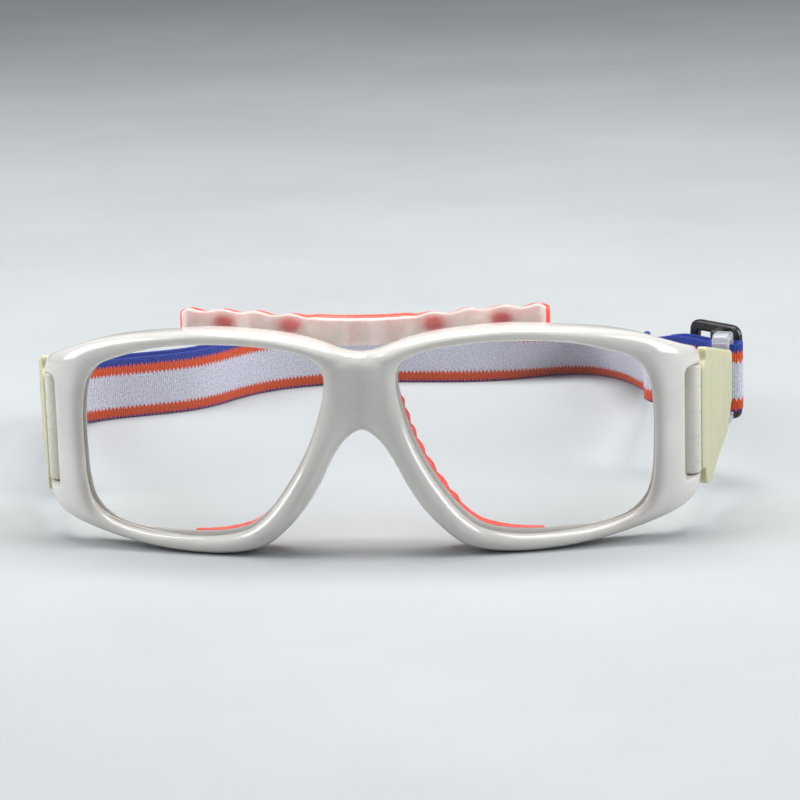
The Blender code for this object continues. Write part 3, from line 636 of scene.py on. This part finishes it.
def webbing_look():
    """Woven elastic: stripes by height, jagged where the yarns change, and fine upright ribs."""
    look = Look("webbing", Sheen_Weight=0.06, Sheen_Roughness=0.4, IOR=1.45)
    run = look.attribute("run")
    high = look.attribute("high")
    place = look.vector(run, high, 0.0)
    wander = look.math("MULTIPLY", look.noise(0.7, 2.0, vector=place), 0.8)
    tooth = look.math("PINGPONG", look.math("ADD", run, wander), 0.55)
    fray = look.noise(2.2, 2.0, 0.5, vector=place)
    jag = look.math("ADD", look.math("MULTIPLY", tooth, 1.7), look.math("MULTIPLY", fray, 0.8))
    level = look.math("ADD", high, look.math("SUBTRACT", jag, 0.87))
    rib = look.math("PINGPONG", run, 0.26)
    stagger = look.math("MULTIPLY", look.math("FLOOR", look.math("DIVIDE", run, 0.52)), 0.2)
    pick = look.math("PINGPONG", look.math("ADD", high, stagger), 0.2)
    fleck = look.noise(1.7, 5.0, 0.75, vector=place)
    cloud = look.noise(0.12, 3.0, 0.5, vector=place)
    specks = look.ramp(look.math("ADD", fleck, look.math("MULTIPLY", pick, 0.25)), 0.40, 0.62)
    white = look.mix(specks, (0.42, 0.42, 0.54), (0.72, 0.72, 0.80))
    white = look.mix(look.ramp(cloud, 0.35, 0.65, 0.0, 0.35), white, (0.57, 0.58, 0.69))
    yarns = look.ramp(look.math("ADD", fleck, rib), 0.38, 0.8)
    orange = look.mix(yarns, (0.42, 0.038, 0.006), (0.78, 0.092, 0.012))
    blue = look.mix(yarns, (0.007, 0.012, 0.10), (0.015, 0.045, 0.36))
    colour = blue
    sharp = 0.10
    for edge, following in zip(STRIPES, (orange, white, orange, blue)):
        colour = look.mix(look.ramp(level, edge - sharp, edge + sharp), colour, following)
    # Painted shade in the grooves between the yarn ribs, multiplied into the colour.
    shade = look.ramp(look.math("ADD", rib, look.math("MULTIPLY", pick, 0.6)), 0.0, 0.3, 0.8, 1.0)
    look.set("Base Color", look.mix(1.0, colour, look.vector(shade, shade, shade), "MULTIPLY"))
    look.rough(fleck, 0.72, 0.92)
    yarn = look.math("ADD", look.math("MULTIPLY", rib, 2.2), look.math("MULTIPLY", pick, 1.4))
    look.bump(look.math("ADD", yarn, look.math("MULTIPLY", fleck, 0.6)), 0.00016, 0.9)
    return look.material


def thread_look():
    """Twisted polyester thread."""
    look = Look("thread", Sheen_Weight=0.3, IOR=1.45)
    ply = look.noise(2500.0, 2.0, 0.6)
    look.colour(ply, (0.50, 0.50, 0.60), (0.78, 0.78, 0.86), 0.35, 0.65)
    look.rough(ply, 0.55, 0.8)
    look.bump(ply, 0.00005, 0.8)
    return look.material


def floor_look():
    """Plain pale floor, faintly uneven."""
    look = Look("floor_pale", IOR=1.4, Specular_IOR_Level=0.2)
    cloud = look.noise(5.0, 6.0, 0.6)
    look.colour(cloud, (0.40, 0.42, 0.43), (0.44, 0.46, 0.47))
    look.rough(cloud, 0.8, 0.9)
    look.bump(look.noise(900.0, 4.0, 0.6), 0.00005, 0.3)
    return look.material


# ---------------- front, lenses and pads

def rim_stations(width):
    """Reach of each point over the front, and over the rear, from the lens edge outwards."""
    edge = min(width, ROUNDING)
    half = 0.5 * edge
    front = []
    for k in range(FRONT_STEPS + 1):
        front.append(half * (1 - math.cos(math.pi / 2 * k / FRONT_STEPS)))
    for k in (1, 2, 3):
        front.append(lerp(half, width - half, k / 4))
    for k in range(FRONT_STEPS + 1):
        front.append(width - half * (1 - math.cos(math.pi / 2 * (1 - k / FRONT_STEPS))))
    rear_round = REAR_SHARE * edge
    rear = [width - rear_round * (1 - math.cos(math.pi / 2 * k / 4)) for k in range(5)]
    rear += [lerp(width - rear_round, rear_round, k / 3) for k in (1, 2)]
    return front, rear


def rim_section(t, lines):
    """Points from the lens edge over the front, down the outer wall, over the rear and into the groove."""
    inner, outer = rim_row(t)
    width = (outer - inner).length
    out = (outer - inner) / width
    edge = min(width, ROUNDING)
    front, rear = rim_stations(width)
    section = []

    def add_point(reach, depth):
        spot = inner + out * reach
        section.append(sheet_point(1, spot, depth * local_depth(spot.x), straightness(reach, edge)))

    for reach in front:
        spot = inner + out * reach
        to_outside = line_distance(spot, lines)
        depth = round_off(reach, 0.5 * edge, INNER_ROUND) + round_off(to_outside, 0.5 * edge, OUTER_ROUND)
        depth += VALLEY * smoothstep(1.0 - spot.x / VALLEY_HALF_WIDTH)
        add_point(reach, min(depth, INNER_ROUND + OUTER_ROUND))
    for reach in rear:
        to_outside = line_distance(inner + out * reach, lines)
        add_point(reach, RIM_DEPTH - round_off(to_outside, REAR_SHARE * edge, REAR_ROUND))
    for reach, depth in ((REAR_SHARE * edge, 8.9), (0.26 * edge, 8.6), (0.14 * edge, 7.9),
                         (0.04 * edge, 6.9), (-LIP, 6.3), (-LIP, 5.8), (0.0, 5.65), (GROOVE, 5.6),
                         (GROOVE, 3.0), (0.15, 2.85)):
        add_point(reach, depth)
    if meets_middle(t):
        section[len(front) - 1].x = 0.0
        section[len(front)].x = 0.0
    return section, len(front) - 1


def make_front(material):
    """The one-piece front, with its temple slots cut and its lens grooves marked for the painted shade in the
    material.
    """
    count = len(RIM_ROWS) * STATIONS_PER_ROW
    rows = [i / STATIONS_PER_ROW for i in range(count)]
    lines = outer_line()
    sections = []
    for t in rows:
        section, wall = rim_section(t, lines)
        sections.append(section)

    def open_at_bridge(i, k):
        return k == wall and BRIDGE_ROWS[0] <= rows[i] < BRIDGE_ROWS[1]

    # Points in the lens grooves, which the ivory material darkens as painted shade.
    groove = kdtree.KDTree(4 * len(sections))
    for i, section in enumerate(sections):
        for k, side in ((-1, 1), (-1, -1), (-2, 1), (-2, -1)):
            spot = Vector((section[k].x * side, section[k].y, section[k].z))
            groove.insert((spot + ORIGIN_SHIFT) * MM, i)
    groove.balance()
    bm = loft(sections, ring=True, skip_face=open_at_bridge)
    bmesh.ops.recalc_face_normals(bm, faces=bm.faces)
    other = bm.copy()
    bmesh.ops.scale(other, vec=(-1.0, 1.0, 1.0), verts=other.verts)
    bmesh.ops.reverse_faces(other, faces=other.faces)
    merge_bmesh(bm, other)
    bmesh.ops.remove_doubles(bm, verts=bm.verts, dist=0.0005)
    shell = finish_mesh("front_shell", bm, material, 42.0)
    for side in (-1, 1):
        for cutter in notch_cutters(side, material):
            cut(shell, cutter)
        hinge = hinge_point(side)
        low, high = PIN_Z[0] - 0.3, PIN_Z[1] + 0.3
        bore = turned_bmesh([(0.0, low), (PIN_RADIUS + 0.25, low), (PIN_RADIUS + 0.25, high), (0.0, high)],
                            hinge)
        cut(shell, finish_mesh("bore_cutter", bore, material))
    store(shell, "groove", [1.0 if groove.find(v.co)[2] < 0.05 * MM else 0.0 for v in shell.data.vertices])
    return shell


def notch_cutters(side, material):
    """A shallow pocket with a rounded mouth, and the slot for the arm's barrel at its outer end."""
    middle = (NOTCH_Z[0] + NOTCH_Z[1]) / 2
    half_z = (NOTCH_Z[1] - NOTCH_Z[0]) / 2
    flare = NOTCH_FLARE
    mouth = [(-1.5, flare + 1.6), (-0.25, flare + 0.45)]
    for k in range(6):
        a = math.pi / 2 * k / 5
        mouth.append((flare * (1 - math.cos(a)), flare * (1 - math.sin(a))))
    pocket = mouth + [(POCKET_DEPTH - 0.5, 0.0), (POCKET_DEPTH - 0.15, -0.15), (POCKET_DEPTH, -0.5)]
    through = [(1.0, 0.0), (TEMPLE_DEPTH - 0.5, 0.0), (TEMPLE_DEPTH + 0.2, 0.45), (TEMPLE_DEPTH + 2.0, 2.2)]
    cutters = []
    for name, depths, front in (("pocket", pocket, HINGE_ALONG - POCKET_FRONT),
                                ("slot", through, HINGE_ALONG - NOTCH_FRONT)):
        sections = []
        for depth, grow in depths:
            low, high = middle - half_z - grow, middle + half_z + grow
            start, end = front - grow, TEMPLE_END + 6
            outline = densify(rounded_outline(rectangle((start, end), (low, high)), 2.2, CORNER_STEPS))
            sections.append([wrap(side * along, depth, z) for along, z in outline])
        cutters.append(finish_mesh(name, loft(sections), material))
    return cutters


def densify(outline):
    """More points on the straight stretches between the rounded corners."""
    count = len(outline)
    dense = []
    for i, here in enumerate(outline):
        there = outline[(i + 1) % count]
        parts = 24 if i % (CORNER_STEPS + 1) == CORNER_STEPS else 1
        dense += [here.lerp(there, k / parts) for k in range(parts)]
    return dense


def cut(obj, cutter):
    modifier = obj.modifiers.new("Cut", "BOOLEAN")
    modifier.operation = "DIFFERENCE"
    modifier.solver = "EXACT"
    modifier.object = cutter
    apply_modifiers(obj)
    bpy.data.objects.remove(cutter, do_unlink=True)


def apply_modifiers(obj):
    mesh = evaluated_mesh(obj)
    obj.modifiers.clear()
    old = obj.data
    obj.data = mesh
    mesh.name = old.name
    bpy.data.meshes.remove(old)


def make_lens(name, side, material):
    """A curved pane that stands in the rim's groove."""
    middle = Vector((36.0, 26.5))
    edge = []
    for i in range(len(RIM_ROWS) * 3):
        inner, outer = rim_row(i / 3)
        edge.append(inner + (outer - inner).normalized() * LENS_BITE)
    scales = [1.0 - k / 10 for k in range(10)]
    bm = bmesh.new()
    rims = []
    count = len(edge)
    for depth in (LENS_FRONT, LENS_FRONT + LENS_THICKNESS):
        grid = []
        for scale in scales:
            spots = [middle + (spot - middle) * scale for spot in edge]
            grid.append([bm.verts.new(sheet_point(side, s, depth, 1.0)) for s in spots])
        centre = bm.verts.new(sheet_point(side, middle, depth, 1.0))
        rims.append(grid[0])
        for k in range(count):
            nxt = (k + 1) % count
            for outer_ring, inner_ring in zip(grid, grid[1:]):
                bm.faces.new((outer_ring[k], outer_ring[nxt], inner_ring[nxt], inner_ring[k]))
            bm.faces.new((grid[-1][k], grid[-1][nxt], centre))
    for k in range(count):
        nxt = (k + 1) % count
        bm.faces.new((rims[0][k], rims[1][k], rims[1][nxt], rims[0][nxt]))
    return finish_mesh(name, bm, material)


def make_nose_pad(name, side, material):
    """A soft strip behind the nasal rim, ribbed where it touches the nose."""
    first, last = NOSE_PAD_ROWS
    start, end = RIB_ROWS
    count = 220
    sections = []
    for i in range(count + 1):
        t = lerp(first, last, i / count)
        inner, outer = rim_row(t)
        out = (outer - inner).normalized()
        taper = math.sqrt(min(1.0, 4.0 * (min(i, count - i) + 0.4) / count))
        in_ribs = smoothstep((t - start) / 0.4) * smoothstep((end - t) / 0.4)
        rib = RIB_HEIGHT * in_ribs * abs(math.sin((t - start) / (end - start) * RIB_COUNT * math.pi))
        near = lerp(0.3, 0.2, taper) - rib + NOSE_PAD_SET[side] * in_ribs
        far = lerp(1.0, 3.4, taper)
        edge = min((outer - inner).length, ROUNDING)
        thick = lerp(0.8, 3.2, taper)
        section = []
        for k in range(18):
            a = math.tau * k / 18
            s, c = math.sin(a), math.cos(a)
            reach = (near + far) / 2 + (far - near) / 2 * math.copysign(abs(c) ** 0.6, c)
            depth = NOSE_PAD_FRONT + thick / 2 + thick / 2 * math.copysign(abs(s) ** 0.7, s)
            section.append(sheet_point(side, inner + out * reach, depth, straightness(reach, edge)))
        sections.append(section)
    return finish_mesh(name, loft(sections), material, 60.0)


def brow_top(along):
    """Height of the brow bar's scalloped top edge."""
    reach = min(max((abs(along) - 3.0) / 30.0, 0.0), 1.0)
    rise = BROW_RISE * smoothstep(reach)
    fade = smoothstep((abs(along) - 10.0) / 4.0)
    scallop = SCALLOP_HEIGHT * math.cos(math.tau * (abs(along) - SCALLOP_FIRST) / SCALLOP_PITCH) * fade
    return BROW_TOP + rise + scallop


def hollow(along, z):
    """How deep the vent hollows go here, from 0 to 1."""
    deepest = 0.0
    for centre in VENT_ALONG:
        a = (abs(along) - centre) / HOLLOW_SIZE[0]
        b = (z - VENT_Z - 0.02 * (centre - 16.0)) / HOLLOW_SIZE[1]
        deepest = max(deepest, math.exp(-(a * a + b * b)))
    return deepest


def make_brow_bar(material):
    """Fluted bar with four vent hollows along the front."""
    front, rear = BROW_BAR_DEPTH
    sections = []
    # Per vertex, how much painted coral glow the material lays on: most in the vent hollows, some along the
    # top edge, and on the rear.
    coral_glow_through = []
    count = 240
    rows_up = 16
    for i in range(count + 1):
        along = lerp(-BROW_HALF_WIDTH, BROW_HALF_WIDTH, i / count)
        top = brow_top(along)
        end_round = smoothstep((BROW_HALF_WIDTH - abs(along)) / 1.5)
        top -= 0.7 * (1 - end_round)
        flute = smoothstep((abs(along) - 9.0) / 4.0) * 0.28 * (
            1 - math.cos(math.tau * (abs(along) - SCALLOP_FIRST) / SCALLOP_PITCH))
        ridge = sum(math.exp(-((along - c) / 1.3) ** 2) for c in (-2.6, 2.6))
        section = []
        for k in range(rows_up + 1):
            z = lerp(BROW_BOTTOM, top - 0.55, k / rows_up)
            deep = hollow(along, z)
            depth = front + flute * 0.8 + 1.25 * deep + 0.3 * (1 - end_round) + 0.28 - 0.28 * ridge
            section.append((depth, z))
            coral_glow_through.append(min(1.0, deep * 1.15) * 0.95)
        edge_glow = 0.32 * smoothstep((abs(along) - 5.0) / 12.0) + 0.12
        lead = section[-1][0]
        for k in range(1, 6):
            a = math.pi * k / 6
            section.append((lerp(lead, rear, (1 - math.cos(a)) / 2), top - 0.55 + 0.55 * math.sin(a)))
            coral_glow_through.append(edge_glow * math.sin(a) + 0.1)
        for k in range(4):
            section.append((rear, lerp(top - 0.55, BROW_BOTTOM, k / 3)))
            coral_glow_through.append(0.7)
        sections.append([wrap(along, depth, z) for depth, z in section])
    bar = finish_mesh("brow_bar_milky", loft(sections), material, 60.0)
    store(bar, "coral_glow_through", coral_glow_through)
    return bar


def make_brow_pad(material):
    """Coral cushion behind the brow bar, with a soft wavy top."""
    front, rear = BROW_PAD_DEPTH
    count = 200
    sections = []
    for i in range(count + 1):
        along = lerp(-BROW_PAD_HALF_WIDTH, BROW_PAD_HALF_WIDTH, i / count)
        middle = smoothstep((18.0 - abs(along)) / 7.0)
        close = math.sqrt(min(1.0, (BROW_PAD_HALF_WIDTH - abs(along) + 0.05) / 2.0))
        top = brow_top(min(abs(along), BROW_HALF_WIDTH)) - lerp(0.6, -0.1, middle)
        low = BROW_BOTTOM + 0.2
        centre_z = (top + low) / 2
        centre_d = (front + rear) / 2
        section = []
        for k in range(24):
            a = math.tau * k / 24
            s, c = math.sin(a), math.cos(a)
            shrink = lerp(0.55, 1.0, close)
            depth = centre_d + (rear - front) / 2 * shrink * math.copysign(abs(c) ** 0.55, c)
            z = centre_z + (top - low) / 2 * lerp(0.8, 1.0, close) * math.copysign(abs(s) ** 0.55, s)
            section.append(wrap(along, depth, z))
        sections.append(section)
    return finish_mesh("brow_pad_coral", loft(sections), material, 60.0)


# ---------------- arms, keepers and slider

def make_arm(name, side, material):
    """Flat moulded arm, which carries its distance behind the hinge for the material."""
    hinge = hinge_point(side)
    matrix = upright_plane(hinge, arm_angle(side), side * ARM_OFFSET)
    arm = plate_bmesh([rounded_outline(ARM_OUTLINE, 1.8, 5)], ARM_THICKNESS, matrix, 0.45)
    obj = finish_mesh(name, arm, material, 50.0)
    forward, _ = level_axes(arm_angle(side))
    shifted = hinge + ORIGIN_SHIFT
    store(obj, "run", [(v.co / MM - shifted).dot(forward) for v in obj.data.vertices])
    return obj


def make_barrel(name, side, material):
    """The arm's round knuckle, which turns on the pin."""
    low, high = NOTCH_Z[0] + 0.4, NOTCH_Z[1] - 0.4
    r = BARREL_RADIUS
    bore = PIN_RADIUS + 0.3
    profile = [(bore, low), (r - 0.5, low), (r - 0.15, low + 0.15), (r, low + 0.5), (r, high - 0.5),
               (r - 0.15, high - 0.15), (r - 0.5, high), (bore, high), (bore, low)]
    return finish_mesh(name, turned_bmesh(profile, hinge_point(side), 48), material, 50.0)


def make_keeper(name, side, material):
    """Clear loop that joins the strap to the arm."""
    heights, window_heights = ([z + KEEPER_LIFT[side] for z in pair] for pair in (KEEPER_Z, KEEPER_WINDOW_Z))
    outlines = [rounded_outline(rectangle(KEEPER_U, heights), 2.4),
                rounded_outline(rectangle(KEEPER_WINDOW_U, window_heights)[::-1], 0.6, 3)]
    matrix = upright_plane(hinge_point(side), arm_angle(side), side * KEEPER_OFFSET[side])
    return finish_mesh(name, plate_bmesh(outlines, KEEPER_THICKNESS, matrix, 0.5, 4), material, 50.0)


def slider_spot(t, depth, z):
    """A point along the slider, with depth away from the front."""
    forward, rearward = level_axes(SLIDER_ANGLE)
    spot = Vector((*SLIDER_START, 0.0)) + forward * t + rearward * depth
    spot.z = z
    return spot


def make_slider(material):
    """Flat ring with a raised bar between the strap's layers."""
    low, high = SLIDER_Z
    bottom, top = low + SLIDER_BAR, high - SLIDER_BAR
    outer = rectangle((0.0, SLIDER_LENGTH), SLIDER_Z)
    window = rectangle((SLIDER_BAR, SLIDER_LENGTH - SLIDER_BAR), (bottom, top))[::-1]
    outlines = [rounded_outline(outer, 3.2), rounded_outline(window, 1.0, 3)]
    slider = plate_bmesh(outlines, SLIDER_THICKNESS, upright_plane(SLIDER_START, SLIDER_ANGLE), 0.55, 4)
    near, far = LOOP_BAR_DEPTH
    staple = [(0.0, low + 1.0), (-far, low + 1.0), (-far, high - 1.0), (0.0, high - 1.0),
              (0.0, top), (-near, top), (-near, bottom), (0.0, bottom)]
    start, end = LOOP_BAR_T
    middle = slider_spot((start + end) / 2, 0.0, 0.0)
    across = upright_plane(middle, SLIDER_ANGLE - math.pi / 2)
    merge_bmesh(slider, plate_bmesh([rounded_outline(staple, 0.6, 3)], end - start, across, 0.3, 3))
    return finish_mesh("slider_black", slider, material, 50.0)


# ---------------- strap

def arm_spot(side, u, sideways, z):
    """A point given by its distance behind the hinge and outwards from the arm's middle plane."""
    forward, outward = level_axes(arm_angle(side))
    spot = hinge_point(side) + forward * u + outward * (side * sideways)
    spot.z = z
    return spot


def keeper_loop(side):
    """The strap's turn through the keeper's window, from the outer side to the inner side."""
    spots = [(39.2, 3.6), (37.6, 3.75), (36.3, 2.3), (35.95, 0.0), (36.3, -2.1), (37.6, -2.9),
             (39.4, -2.95)]
    level = KEEPER_STRAP_Z + KEEPER_LIFT[side]
    return [arm_spot(side, u, KEEPER_OFFSET[side] + sideways, level) for u, sideways in spots]


def beside(route, distance, lift):
    """A route beside another, to the left of its direction for a positive distance."""
    result = []
    last = len(route) - 1
    for i, point in enumerate(route):
        along = route[min(i + 1, last)] - route[max(i - 1, 0)]
        left = Vector((-along.y, along.x, 0.0)).normalized()
        result.append(point + left * distance + Vector((0.0, 0.0, lift)))
    return result


def doubled_level(t):
    """Height of the doubled strap, which sags once it is behind the slider."""
    return SLIDER_STRAP_Z - STRAP_SAG * smoothstep((t - 15.0) / 12.0)


def sagged(point):
    """A point of the band, lower where it leaves the doubled part."""
    drop = 0.8 * STRAP_SAG * smoothstep((150.0 - point.y) / 60.0) if point.x > 55.0 else 0.0
    return point - Vector((0.0, 0.0, drop))


def lean(spot):
    """How far the webbing's top edge leans towards the front, as an angle."""
    return STRAP_LEAN * smoothstep((spot.x - 12.0) / 22.0) * smoothstep((spot.y - 128.0) / 45.0)


def strap_points():
    """The whole strap as one route, and the indices where it passes from one piece to the next."""
    route = [slider_spot(t, FAR_LAYER, doubled_level(t)) for t in (FREE_END, 16.0, 10.0, 5.0, 1.5)]
    route += [slider_spot(0.0, FAR_LAYER, 26.6), Vector((85.35, 65.5, 26.8))]
    route += keeper_loop(1)
    route.append(Vector((78.3, 67.2, 26.8)))
    route += [slider_spot(t, NEAR_LAYER, doubled_level(t)) for t in (6.8, 12.0, 18.0, 22.5, 25.5)]
    route.append(Vector((62.75, 85.2, 24.6)))
    band = [sagged(Vector(point)) for point in BAND_ROUTE]
    before_band = len(route)
    route += list(reversed(band))
    right_join = before_band + RIGHT_JOIN
    left_join = before_band + len(band) - LEFT_JOIN
    route += [Vector(p) for p in ((-82.4, 78.6, 21.1), (-80.5, 74.3, 21.6), (-78.7, 69.9, 22.0))]
    route += list(reversed(keeper_loop(-1)))
    route += [Vector(p) for p in ((-83.5, 67.6, 22.3), (-83.6, 71.6, 22.3), (-84.2, 75.2, 22.0),
                                  (-85.2, 79.0, 21.6))]
    route += beside(band[:TAIL_END_POINT + 1], TAIL_OFFSET, TAIL_LIFT)
    return route, right_join, left_join


def strap_cross_section():
    """(height above the lower edge, thickness) pairs round the webbing's section."""
    half = STRAP_THICKNESS / 2
    side = [lerp(0.35, STRAP_WIDTH - 0.35, k / 4) for k in range(5)]
    points = [(h, half) for h in side]
    points += [(STRAP_WIDTH - 0.1, half * 0.7), (STRAP_WIDTH, 0.0), (STRAP_WIDTH - 0.1, -half * 0.7)]
    points += [(h, -half) for h in reversed(side)]
    points += [(0.1, -half * 0.7), (0.0, 0.0), (0.1, half * 0.7)]
    return points


def make_strap(material):
    """One strap cut into three pieces where nothing bends, so that the seams never open."""
    points, right_join, left_join = strap_points()
    spots = []
    joins = {}
    for i in range(len(points) - 1):
        quad = quad_at(points, i)
        if i in (right_join, left_join):
            joins[i] = len(spots)
        pieces = max(2, round((quad[2] - quad[1]).length / 0.8))
        for k in range(pieces):
            spots.append(catmull(*quad, k / pieces))
    spots.append(points[-1])
    section = strap_cross_section()
    rings = []
    run = 0.0
    for i, spot in enumerate(spots):
        ahead = spots[min(i + 1, len(spots) - 1)]
        back = spots[max(i - 1, 0)]
        if i:
            run += (spot - spots[i - 1]).length
        along = ahead - back
        left = Vector((-along.y, along.x, 0.0)).normalized()
        sway = 0.12 * noise.noise(Vector((run * 0.06, 3.0, 0.0)))
        ring = []
        tilt = lean(spot)
        for high, thick in section:
            wave = sway * (high / STRAP_WIDTH - 0.5)
            over = thick * math.cos(tilt) + high * math.sin(tilt) + wave
            rise = high * math.cos(tilt) - thick * math.sin(tilt) - STRAP_WIDTH / 2
            ring.append(spot + left * over + Vector((0.0, 0.0, rise)))
        rings.append((ring, run))
    first, second = joins[right_join], joins[left_join]
    ranges = (("strap_web_right", 0, first), ("strap_web_middle", first, second),
              ("strap_web_left", second, len(rings) - 1))
    made = {}
    for name, start, end in ranges:
        chosen = rings[start:end + 1]
        obj = finish_mesh(name, loft([ring for ring, _ in chosen]), material, 75.0)
        store(obj, "run", [value for _, value in chosen for _ in section])
        store(obj, "high", [high for _ in chosen for high, _ in section])
        made[name] = obj
    return made


def make_tack(name, spot, direction, material):
    """A zigzag of thread that closes a fold."""
    along = direction.normalized()
    outward = Vector((-along.y, along.x, 0.0))
    curve = bpy.data.curves.new(name, "CURVE")
    curve.dimensions = "3D"
    curve.bevel_depth = THREAD_RADIUS * MM
    curve.bevel_resolution = 2
    spline = curve.splines.new("POLY")
    turns = 34
    spline.points.add(turns)
    for k in range(turns + 1):
        sign = 1 if k % 2 else -1
        point = spot + along * (TACK_SIZE[0] / 2 - THREAD_RADIUS) * sign
        point = point + outward * (0.08 if k % 2 else -0.02)
        point.z = spot.z + lerp(-TACK_SIZE[2] / 2, TACK_SIZE[2] / 2, k / turns)
        spline.points[k].co = (*((point + ORIGIN_SHIFT) * MM), 1.0)
    curve.materials.append(material)
    return new_object(name, curve)


# ---------------- the object

IVORY = ivory_look()
CREAM = cream_look()
MILKY_BROW = milky_look()
CORAL = coral_look()
GREEN = green_look()
CLEAR = clear_look()
LENS = lens_look()
BLACK = black_look()
STEEL = steel_look()
WEBBING = webbing_look()
THREAD = thread_look()


def add(piece, body, slot, *nodes):
    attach(piece, body)
    if nodes:
        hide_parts(*nodes)


add(make_front(IVORY), "frame", "ivory_gloss", "front_frame")
add(make_brow_bar(MILKY_BROW), "frame", "ivory_gloss", "brow_bar")
brow_pad = make_brow_pad(CORAL)
add(brow_pad, "frame", "coral_elastomer", "brow_pad")
for side_name, side_sign in SIDES:
    arm_body = "arm_" + side_name
    add(make_lens("lens_pane_" + side_name, side_sign, LENS), "frame", "clear_lens", "lens_" + side_name)
    nose_pad = make_nose_pad("nose_pad_coral_" + side_name, side_sign, CORAL)
    add(nose_pad, "frame", "coral_elastomer", "nose_pad_" + side_name)
    add(make_arm("arm_skin_" + side_name, side_sign, GREEN), arm_body, "pale_green_elastomer",
        "strap_arm_" + side_name)
    add(make_barrel("arm_knuckle_" + side_name, side_sign, CREAM), arm_body, "ivory_gloss")
    add(make_keeper("keeper_clear_" + side_name, side_sign, CLEAR), arm_body, "milky_clear",
        "strap_keeper_" + side_name)
    for material_slot in bpy.data.objects["hinge_pin_" + side_name].material_slots:
        material_slot.material = STEEL
add(make_slider(BLACK), "slider", "black_plastic", "strap_slider")

strap = make_strap(WEBBING)


def place(x, y):
    """A point at the strap's height, in metres in the shared frame."""
    return ((x + ORIGIN_SHIFT.x) * MM, (y + ORIGIN_SHIFT.y) * MM, 0.02)


add(strap["strap_web_middle"], "frame", "webbing", "strap_band")
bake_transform(strap["strap_web_right"])
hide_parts("strap_end_right")
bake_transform(strap["strap_web_left"])
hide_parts("strap_end_left", "strap_tail_left")

tail_route = beside(smooth_route([Vector(p) for p in BAND_ROUTE[:TAIL_END_POINT + 1]], 4.0),
                    TAIL_OFFSET, TAIL_LIFT)
tail_direction = tail_route[-1] - tail_route[-3]
tail_left = Vector((-tail_direction.y, tail_direction.x, 0.0)).normalized()
tack_reach = STRAP_THICKNESS / 2 + 0.1
add(make_tack("tack_thread_left", tail_route[-2] + tail_left * tack_reach, tail_direction, THREAD),
    "frame", "thread", "bar_tack_left")
free_spot = slider_spot(FREE_END - 1.2, FAR_LAYER - tack_reach, doubled_level(FREE_END - 1.2))
add(make_tack("tack_thread_right", free_spot, slider_spot(0, 0, 0) - slider_spot(1, 0, 0), THREAD),
    "arm_right", "thread", "bar_tack_right")


# ---------------- floor, light and camera

def area_light(name, place_at, size, power, colour):
    data = bpy.data.lights.new(name, "AREA")
    data.shape = "RECTANGLE"
    data.size, data.size_y = size
    data.energy = power
    data.color = colour
    obj = new_object(name, data)
    obj.location = place_at
    obj.rotation_mode = "QUATERNION"
    obj.rotation_quaternion = (Vector(OBJECT_MIDDLE) - Vector(place_at)).to_track_quat("-Z", "Y")


floor_bm = bmesh.new()
bmesh.ops.create_grid(floor_bm, x_segments=8, y_segments=8, size=FLOOR_HALF)
floor_mesh = bpy.data.meshes.new("floor")
floor_bm.to_mesh(floor_mesh)
floor_bm.free()
floor_mesh.materials.append(floor_look())
floor = new_object("floor", floor_mesh)

world = bpy.data.worlds.new("soft_grey")
world.use_nodes = True
background = world.node_tree.nodes["Background"]
background.inputs["Color"].default_value = (0.78, 0.80, 0.83, 1.0)
background.inputs["Strength"].default_value = 0.27
bpy.context.scene.world = world
for side_name, side_sign in SIDES:
    area_light(side_name + "_softbox", (side_sign, -0.12, 0.62), (0.6, 0.9), 11.0, (0.97, 0.99, 1.0))
area_light("top_softbox", (0.0, 0.12, 1.05), (0.8, 0.6), 12.0, (1.0, 0.99, 0.98))
for side_name, side_sign in SIDES:
    area_light(side_name + "_lamp", (side_sign * 0.06, -1.1, 1.25), (0.02, 0.02), 0.35, (1.0, 1.0, 1.0))

camera_data = bpy.data.cameras.new("camera")
camera_data.lens = CAMERA_LENS
camera_data.sensor_width = 36.0
camera_data.shift_y = CAMERA_SHIFT
camera_data.clip_start = 0.01
camera = new_object("camera", camera_data)
azimuth, elevation, roll = (math.radians(a) for a in CAMERA_ANGLES)
back = Vector((math.sin(azimuth) * math.cos(elevation), -math.cos(azimuth) * math.cos(elevation),
               math.sin(elevation)))
level_right = Vector((math.cos(azimuth), math.sin(azimuth), 0.0))
level_up = back.cross(level_right)
right = level_right * math.cos(roll) + level_up * math.sin(roll)
up = level_up * math.cos(roll) - level_right * math.sin(roll)
pose = Matrix((right, up, back)).transposed().to_4x4()
pose.translation = Vector(CAMERA_PLACE)
camera.matrix_world = pose
bpy.context.scene.camera = camera
bpy.context.scene.view_settings.view_transform = "Standard"

bpy.context.view_layer.update()
